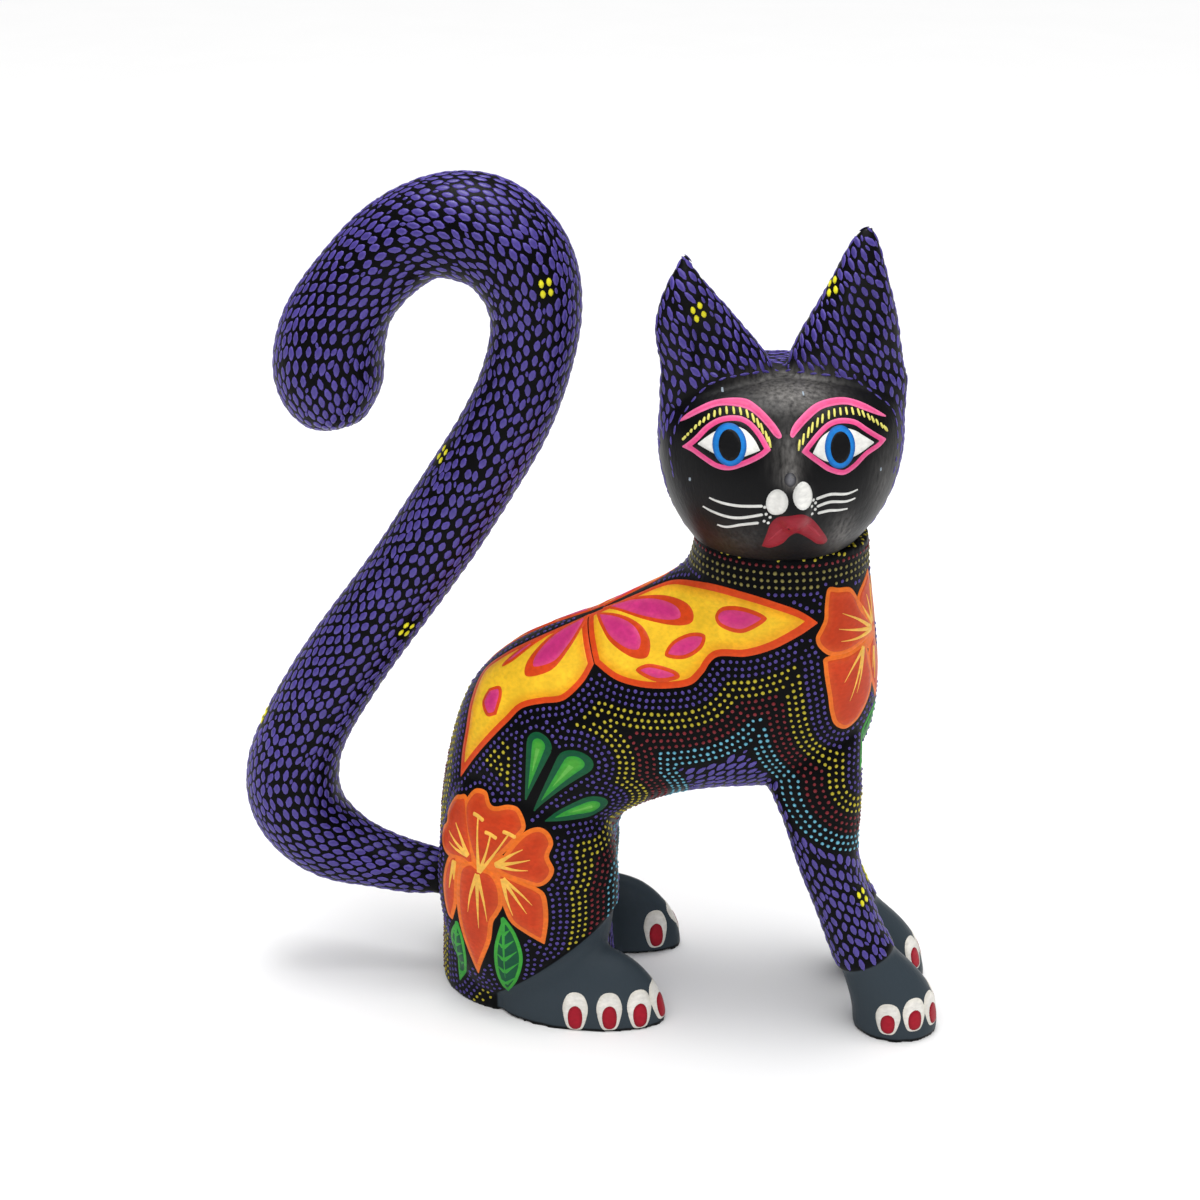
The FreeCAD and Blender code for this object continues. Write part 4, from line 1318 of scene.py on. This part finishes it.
# Half a dab's room along and across itself, as shares of its lane and stride.
HALF_LONG = 0.42
HALF_LONG_BY_DOT = 0.44
HALF_WIDE = 0.45
DOT_MARGIN = 0.55
MOST_OVERHANG = 0.5
JITTER = 0.12


def smooth_step(value, low, high):
    share = min(max((value - low) / (high - low), 0.0), 1.0)
    return share * share * (3 - 2 * share)


def cover(skin, ahead_at, free, taken, seeds, wide, share):
    """Dabs spread outward from each seed until no room is left; each is a place, out and ahead.

    A share below one is a later, smaller dab, which keeps clear of the full-sized ones.
    """
    marks = []
    long = STRIDE * share
    near_long, near_wide = HALF_LONG * STRIDE * (1 + share), HALF_WIDE * wide * (1 + share)
    dot_long, dot_wide = HALF_LONG_BY_DOT * long + DOT_MARGIN, HALF_WIDE * wide * share + DOT_MARGIN
    wide = wide * share

    def room(place, ahead):
        for other, way in taken.near(place):
            gap = place - other
            along = gap.dot(ahead)
            across = (gap - ahead * along).length
            tall, broad = (dot_long, dot_wide) if way is None else (near_long, near_wide)
            if (along / (tall * MM)) ** 2 + (across / (broad * MM)) ** 2 < 1:
                return False
        return True

    def lies_flat(place, ahead):
        for end in (-HALF_LONG_BY_DOT, HALF_LONG_BY_DOT):
            tip = place + ahead * (end * long * MM)
            if (skin.nearest(tip)[0] - tip).length > MOST_OVERHANG * MM:
                return False
        return True

    def offer(place, queue):
        on, out, index = skin.nearest(place)
        ahead = ahead_at(on, out)
        ahead = (ahead - out * ahead.dot(out)).normalized()
        if not free(on, out, index) or not room(on, ahead) or not lies_flat(on, ahead):
            return
        taken.put(on, ahead)
        marks.append((on, out, ahead))
        queue.append((on, out, ahead))

    for seed in seeds:
        queue = []
        offer(seed, queue)
        while queue:
            on, out, ahead = queue.pop(0)
            side = out.cross(ahead)
            steps = [(0.5, 1), (0.5, -1), (-0.5, 1), (-0.5, -1), (1, 0), (-1, 0)]
            for along, across in steps:
                jitter = [draw.uniform(-JITTER, JITTER) for _ in range(2)]
                offer(on + ahead * ((along * long + jitter[0]) * MM)
                      + side * ((across * wide + jitter[1]) * MM), queue)
    return marks


def loose(marks, spread):
    """Each dab turned a little from the rest, as a hand does."""
    out_marks = []
    for on, out, ahead in marks:
        angle = draw.gauss(0, spread)
        side = out.cross(ahead)
        out_marks.append((on, out, ahead * math.cos(angle) + side * math.sin(angle)))
    return out_marks


def scattered(skin):
    """Every third skin point once, in a fixed shuffled order, as seeds for the last small gaps."""
    order = list(range(0, len(skin.points), 3))
    random.Random(5).shuffle(order)
    return [Vector(skin.points[i]) for i in order]


CLUSTER_SIZE = 1.7
CLUSTER_LONG = 2.5
CLUSTER_APART = (1.45, 1.15)


def cluster(skin, place, ahead_at, taken):
    """Four yellow dabs set two by two, as a small flower among the violet."""
    on, out, _ = skin.nearest(Vector(place) * MM)
    ahead = ahead_at(on, out)
    ahead = (ahead - out * ahead.dot(out)).normalized()
    side = out.cross(ahead)
    marks = []
    for along in (-1, 1):
        for across in (-1, 1):
            spot = (on + ahead * (along * CLUSTER_APART[0] * MM)
                    + side * (across * CLUSTER_APART[1] * MM))
            spot, way, _ = skin.nearest(spot)
            marks.append((spot, way, ahead))
            taken.put(spot, ahead)
    return marks


violet_dabs = bead_paint("violet_acrylic_dabs", "#5C4CA6", "#44388A", 0.4)
cluster_yellow = bead_paint("yellow_acrylic_dabs", "#D2CC1C", "#EDE52A")

# The tail's middle line, back from the rump and up, for the direction of its dabs.
TAIL_LINE = [
    (0, 0), (21, 3.4), (40.3, 12.4), (46.8, 33.5), (35, 60.5), (11.3, 95.3), (-13.1, 133.2),
    (-28.2, 166.2), (-26, 193.6), (-4.3, 203), (19.6, 186.4), (28.9, 167.3), (28, 151), (27, 140),
]
TAIL_ROOT = (-35.5, 33.4)
tail_path = [Vector((TAIL_ROOT[0] - back, 0, TAIL_ROOT[1] + up)) * MM
             for back, up in smooth_line(TAIL_LINE, 2.0).tolist()]
tail_tree = nearest_of(tail_path)


def along_tail(place, out):
    at = tail_tree.find(place)[1]
    return tail_path[min(at + 2, len(tail_path) - 1)] - tail_path[max(at - 2, 0)]


def along_body(place, out):
    """Slanting forward and up along the belly, turning down the legs."""
    x, _, z = place / MM
    leg = smooth_step(x, 62, 84) * smooth_step(z, 98, 62)
    return Vector((0.64, 0, 0.77)) * (1 - leg) + Vector((-0.42, 0, 0.9)) * leg


def along_head(place, out):
    """Up the head's sides and back, slanting inward over the ears."""
    height = place.z / MM
    slant = 0.6 * smooth_step(height, 188, 205)
    if out.dot(face.out) < 0:
        slant = -slant
    return face.up - face.right * slant


LAST_ROW = ROW_START + ROW_STEP * (len(ROW_COLOURS) - 0.3)
FACE_MARGIN = 1.06
DAB_PLANS = [
    ("tail", tail_skin, along_tail, "tail", "painted_tail",
     [(7, -12, 222.5), (-24.3, -5.5, 171.5), (-34.5, -10, 117.2), (-82.3, -2.3, 84.2),
      (-30, 12, 130), (-20, 12, 232)]),
    ("body", body_skin, along_body, "figure", "painted_body",
     [(100.2, -19.2, 45.6), (100.3, 15.9, 33.8)]),
    ("head", head_skin, along_head, "figure", "painted_head",
     [(48.9, -19.2, 219.5), (83.5, -9.3, 225.2), (52, 5, 215), (84, 12, 222)]),
]
face_loop = smooth_line(FACE_EDGE, 1.0, closed=True)
head_flat = face.flatten(head_skin.points)
on_face = inside(face_loop * FACE_MARGIN, head_flat)
on_face &= head_skin.normals @ np.array(face.out) > -0.1
HEAD_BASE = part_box("head")[0][2]
# The black that stays free of dabs: above the paws and the floor, and under the jaw.
DABS_OFF_GREY = -1.8
DABS_OFF_FLOOR = 2.4
JAW_SLOPE = -0.55
JAW_TALL = 14


def free_tail(place, out, index):
    return (place - TAIL_SEAT).length > ROOT_CLEAR * MM


def free_body(place, out, index):
    return (motif_far[index] > LAST_ROW and grey_at(place) < DABS_OFF_GREY
            and place.z > DABS_OFF_FLOOR * MM)


def free_head(place, out, index):
    under = out.z < JAW_SLOPE and place.z < HEAD_BASE + JAW_TALL * MM
    return not on_face[index] and not under


FREE = {"tail": free_tail, "body": free_body, "head": free_head}
for number, (part, skin, ahead_at, body_name, slot, groups) in enumerate(DAB_PLANS):
    taken = Marks(STRIDE * MM)
    if part == "body":
        for cell in dots_set.cells.values():
            for place, _ in cell:
                taken.put(place)
    yellow = [mark for place in groups for mark in cluster(skin, place, ahead_at, taken)]
    seeds = scattered(skin)
    for share, size in zip(DAB_SHARES, ("", "small_", "tiny_")):
        marks = cover(skin, ahead_at, FREE[part], taken, seeds, LANES[part], share)
        beads(f"{size}violet_dabs_on_{part}", loose(marks, DAB_SPREAD / share),
              wide=DAB_WIDTHS[part] * share, long=DAB_LONG * share, tall=0.22 + 0.04 * share,
              pinch=0.32, uneven=0.12, seed=number, paint_of=violet_dabs, part=body_name)
    beads(f"yellow_dabs_on_{part}", yellow, wide=CLUSTER_SIZE, long=CLUSTER_LONG, tall=0.34,
          pinch=0.25, uneven=0.08, seed=number, paint_of=cluster_yellow, part=body_name)

# A line of thin violet dashes edges the face where the coat of dabs stops.
edge_marks = []
DASH_EVERY = 8
run = smooth_line(FACE_EDGE[:12], 0.4)
for u, v in run[::DASH_EVERY]:
    on, out = head_skin.touch(*face.line(u, v))
    ahead_u, ahead_v = run[min(np.abs(run - (u, v)).sum(1).argmin() + 1, len(run) - 1)] - (u, v)
    ahead = face.right * float(ahead_u) + face.up * float(ahead_v)
    if ahead.length < 1e-6:
        continue
    ahead = (ahead - out * ahead.dot(out)).normalized()
    edge_marks.append((on, out, ahead))
beads("violet_dashes_round_face", loose(edge_marks, 0.1), wide=0.75, long=2.5, tall=0.2, pinch=0.3,
      uneven=0.25, seed=7, paint_of=violet_dabs, part="figure")

# ---------------------------------------------------------------- floor, light and camera
# The figure stands on a plain pale sheet under soft studio lamps.

floor = mesh_object("floor", [(-40, -40, 0), (40, -40, 0), (40, 40, 0), (-40, 40, 0)], [(0, 1, 2, 3)])
paper, tree, shader = new_material("matt_white_paper")
fibre = add(tree, "ShaderNodeTexNoise", {"Scale": 900.0, "Detail": 2.0})
tone = add(
    tree, "ShaderNodeMix",
    {"Factor": fibre.outputs["Fac"], "A": linear("#FCFCFC"), "B": linear("#FFFFFF")}, data_type="RGBA",
)
tree.links.new(tone.outputs["Result"], shader.inputs["Base Color"])
shader.inputs["Roughness"].default_value = 0.9
shader.inputs["Specular IOR Level"].default_value = 0.1
floor.data.materials.append(paper)

WORLD_LIGHT = 0.26
world = bpy.data.worlds.new("studio")
world.use_nodes = True
world.node_tree.nodes["Background"].inputs["Color"].default_value = (1, 1, 1, 1)
world.node_tree.nodes["Background"].inputs["Strength"].default_value = WORLD_LIGHT
bpy.context.scene.world = world
LOOK_AT = Vector((20, 0, 127)) * MM


def lamp(name, place, size, power):
    """A square soft lamp aimed at the figure."""
    light = bpy.data.lights.new(name, "AREA")
    light.shape = "SQUARE"
    light.size = size
    light.energy = power
    thing = bpy.data.objects.new(name, light)
    thing.location = place
    thing.rotation_euler = (LOOK_AT - Vector(place)).to_track_quat("-Z", "Y").to_euler()
    bpy.context.scene.collection.objects.link(thing)


lamp("front_lamp", (0.25, -0.9, 0.75), 0.4, 0.7)
lamp("top_lamp", (-0.1, 0.1, 1.2), 0.5, 5.5)
ceiling = bpy.data.lights.new("ceiling", "SUN")
ceiling.energy = 2.35
ceiling.angle = math.radians(80)
sky = bpy.data.objects.new("ceiling", ceiling)
sky.rotation_euler = (math.radians(14), math.radians(6), 0)
bpy.context.scene.collection.objects.link(sky)

AZIMUTH = math.radians(8)
ELEVATION = math.radians(23)
DISTANCE = 0.65
camera = bpy.data.cameras.new("camera")
camera.lens = 67.2
camera.sensor_width = 36
view = bpy.data.objects.new("camera", camera)
away = Vector((
    math.sin(AZIMUTH) * math.cos(ELEVATION), -math.cos(AZIMUTH) * math.cos(ELEVATION),
    math.sin(ELEVATION)))
view.location = LOOK_AT + away * DISTANCE
view.rotation_euler = (-away).to_track_quat("-Z", "Y").to_euler()
bpy.context.scene.collection.objects.link(view)
bpy.context.scene.camera = view
bpy.context.scene.view_settings.view_transform = "Standard"
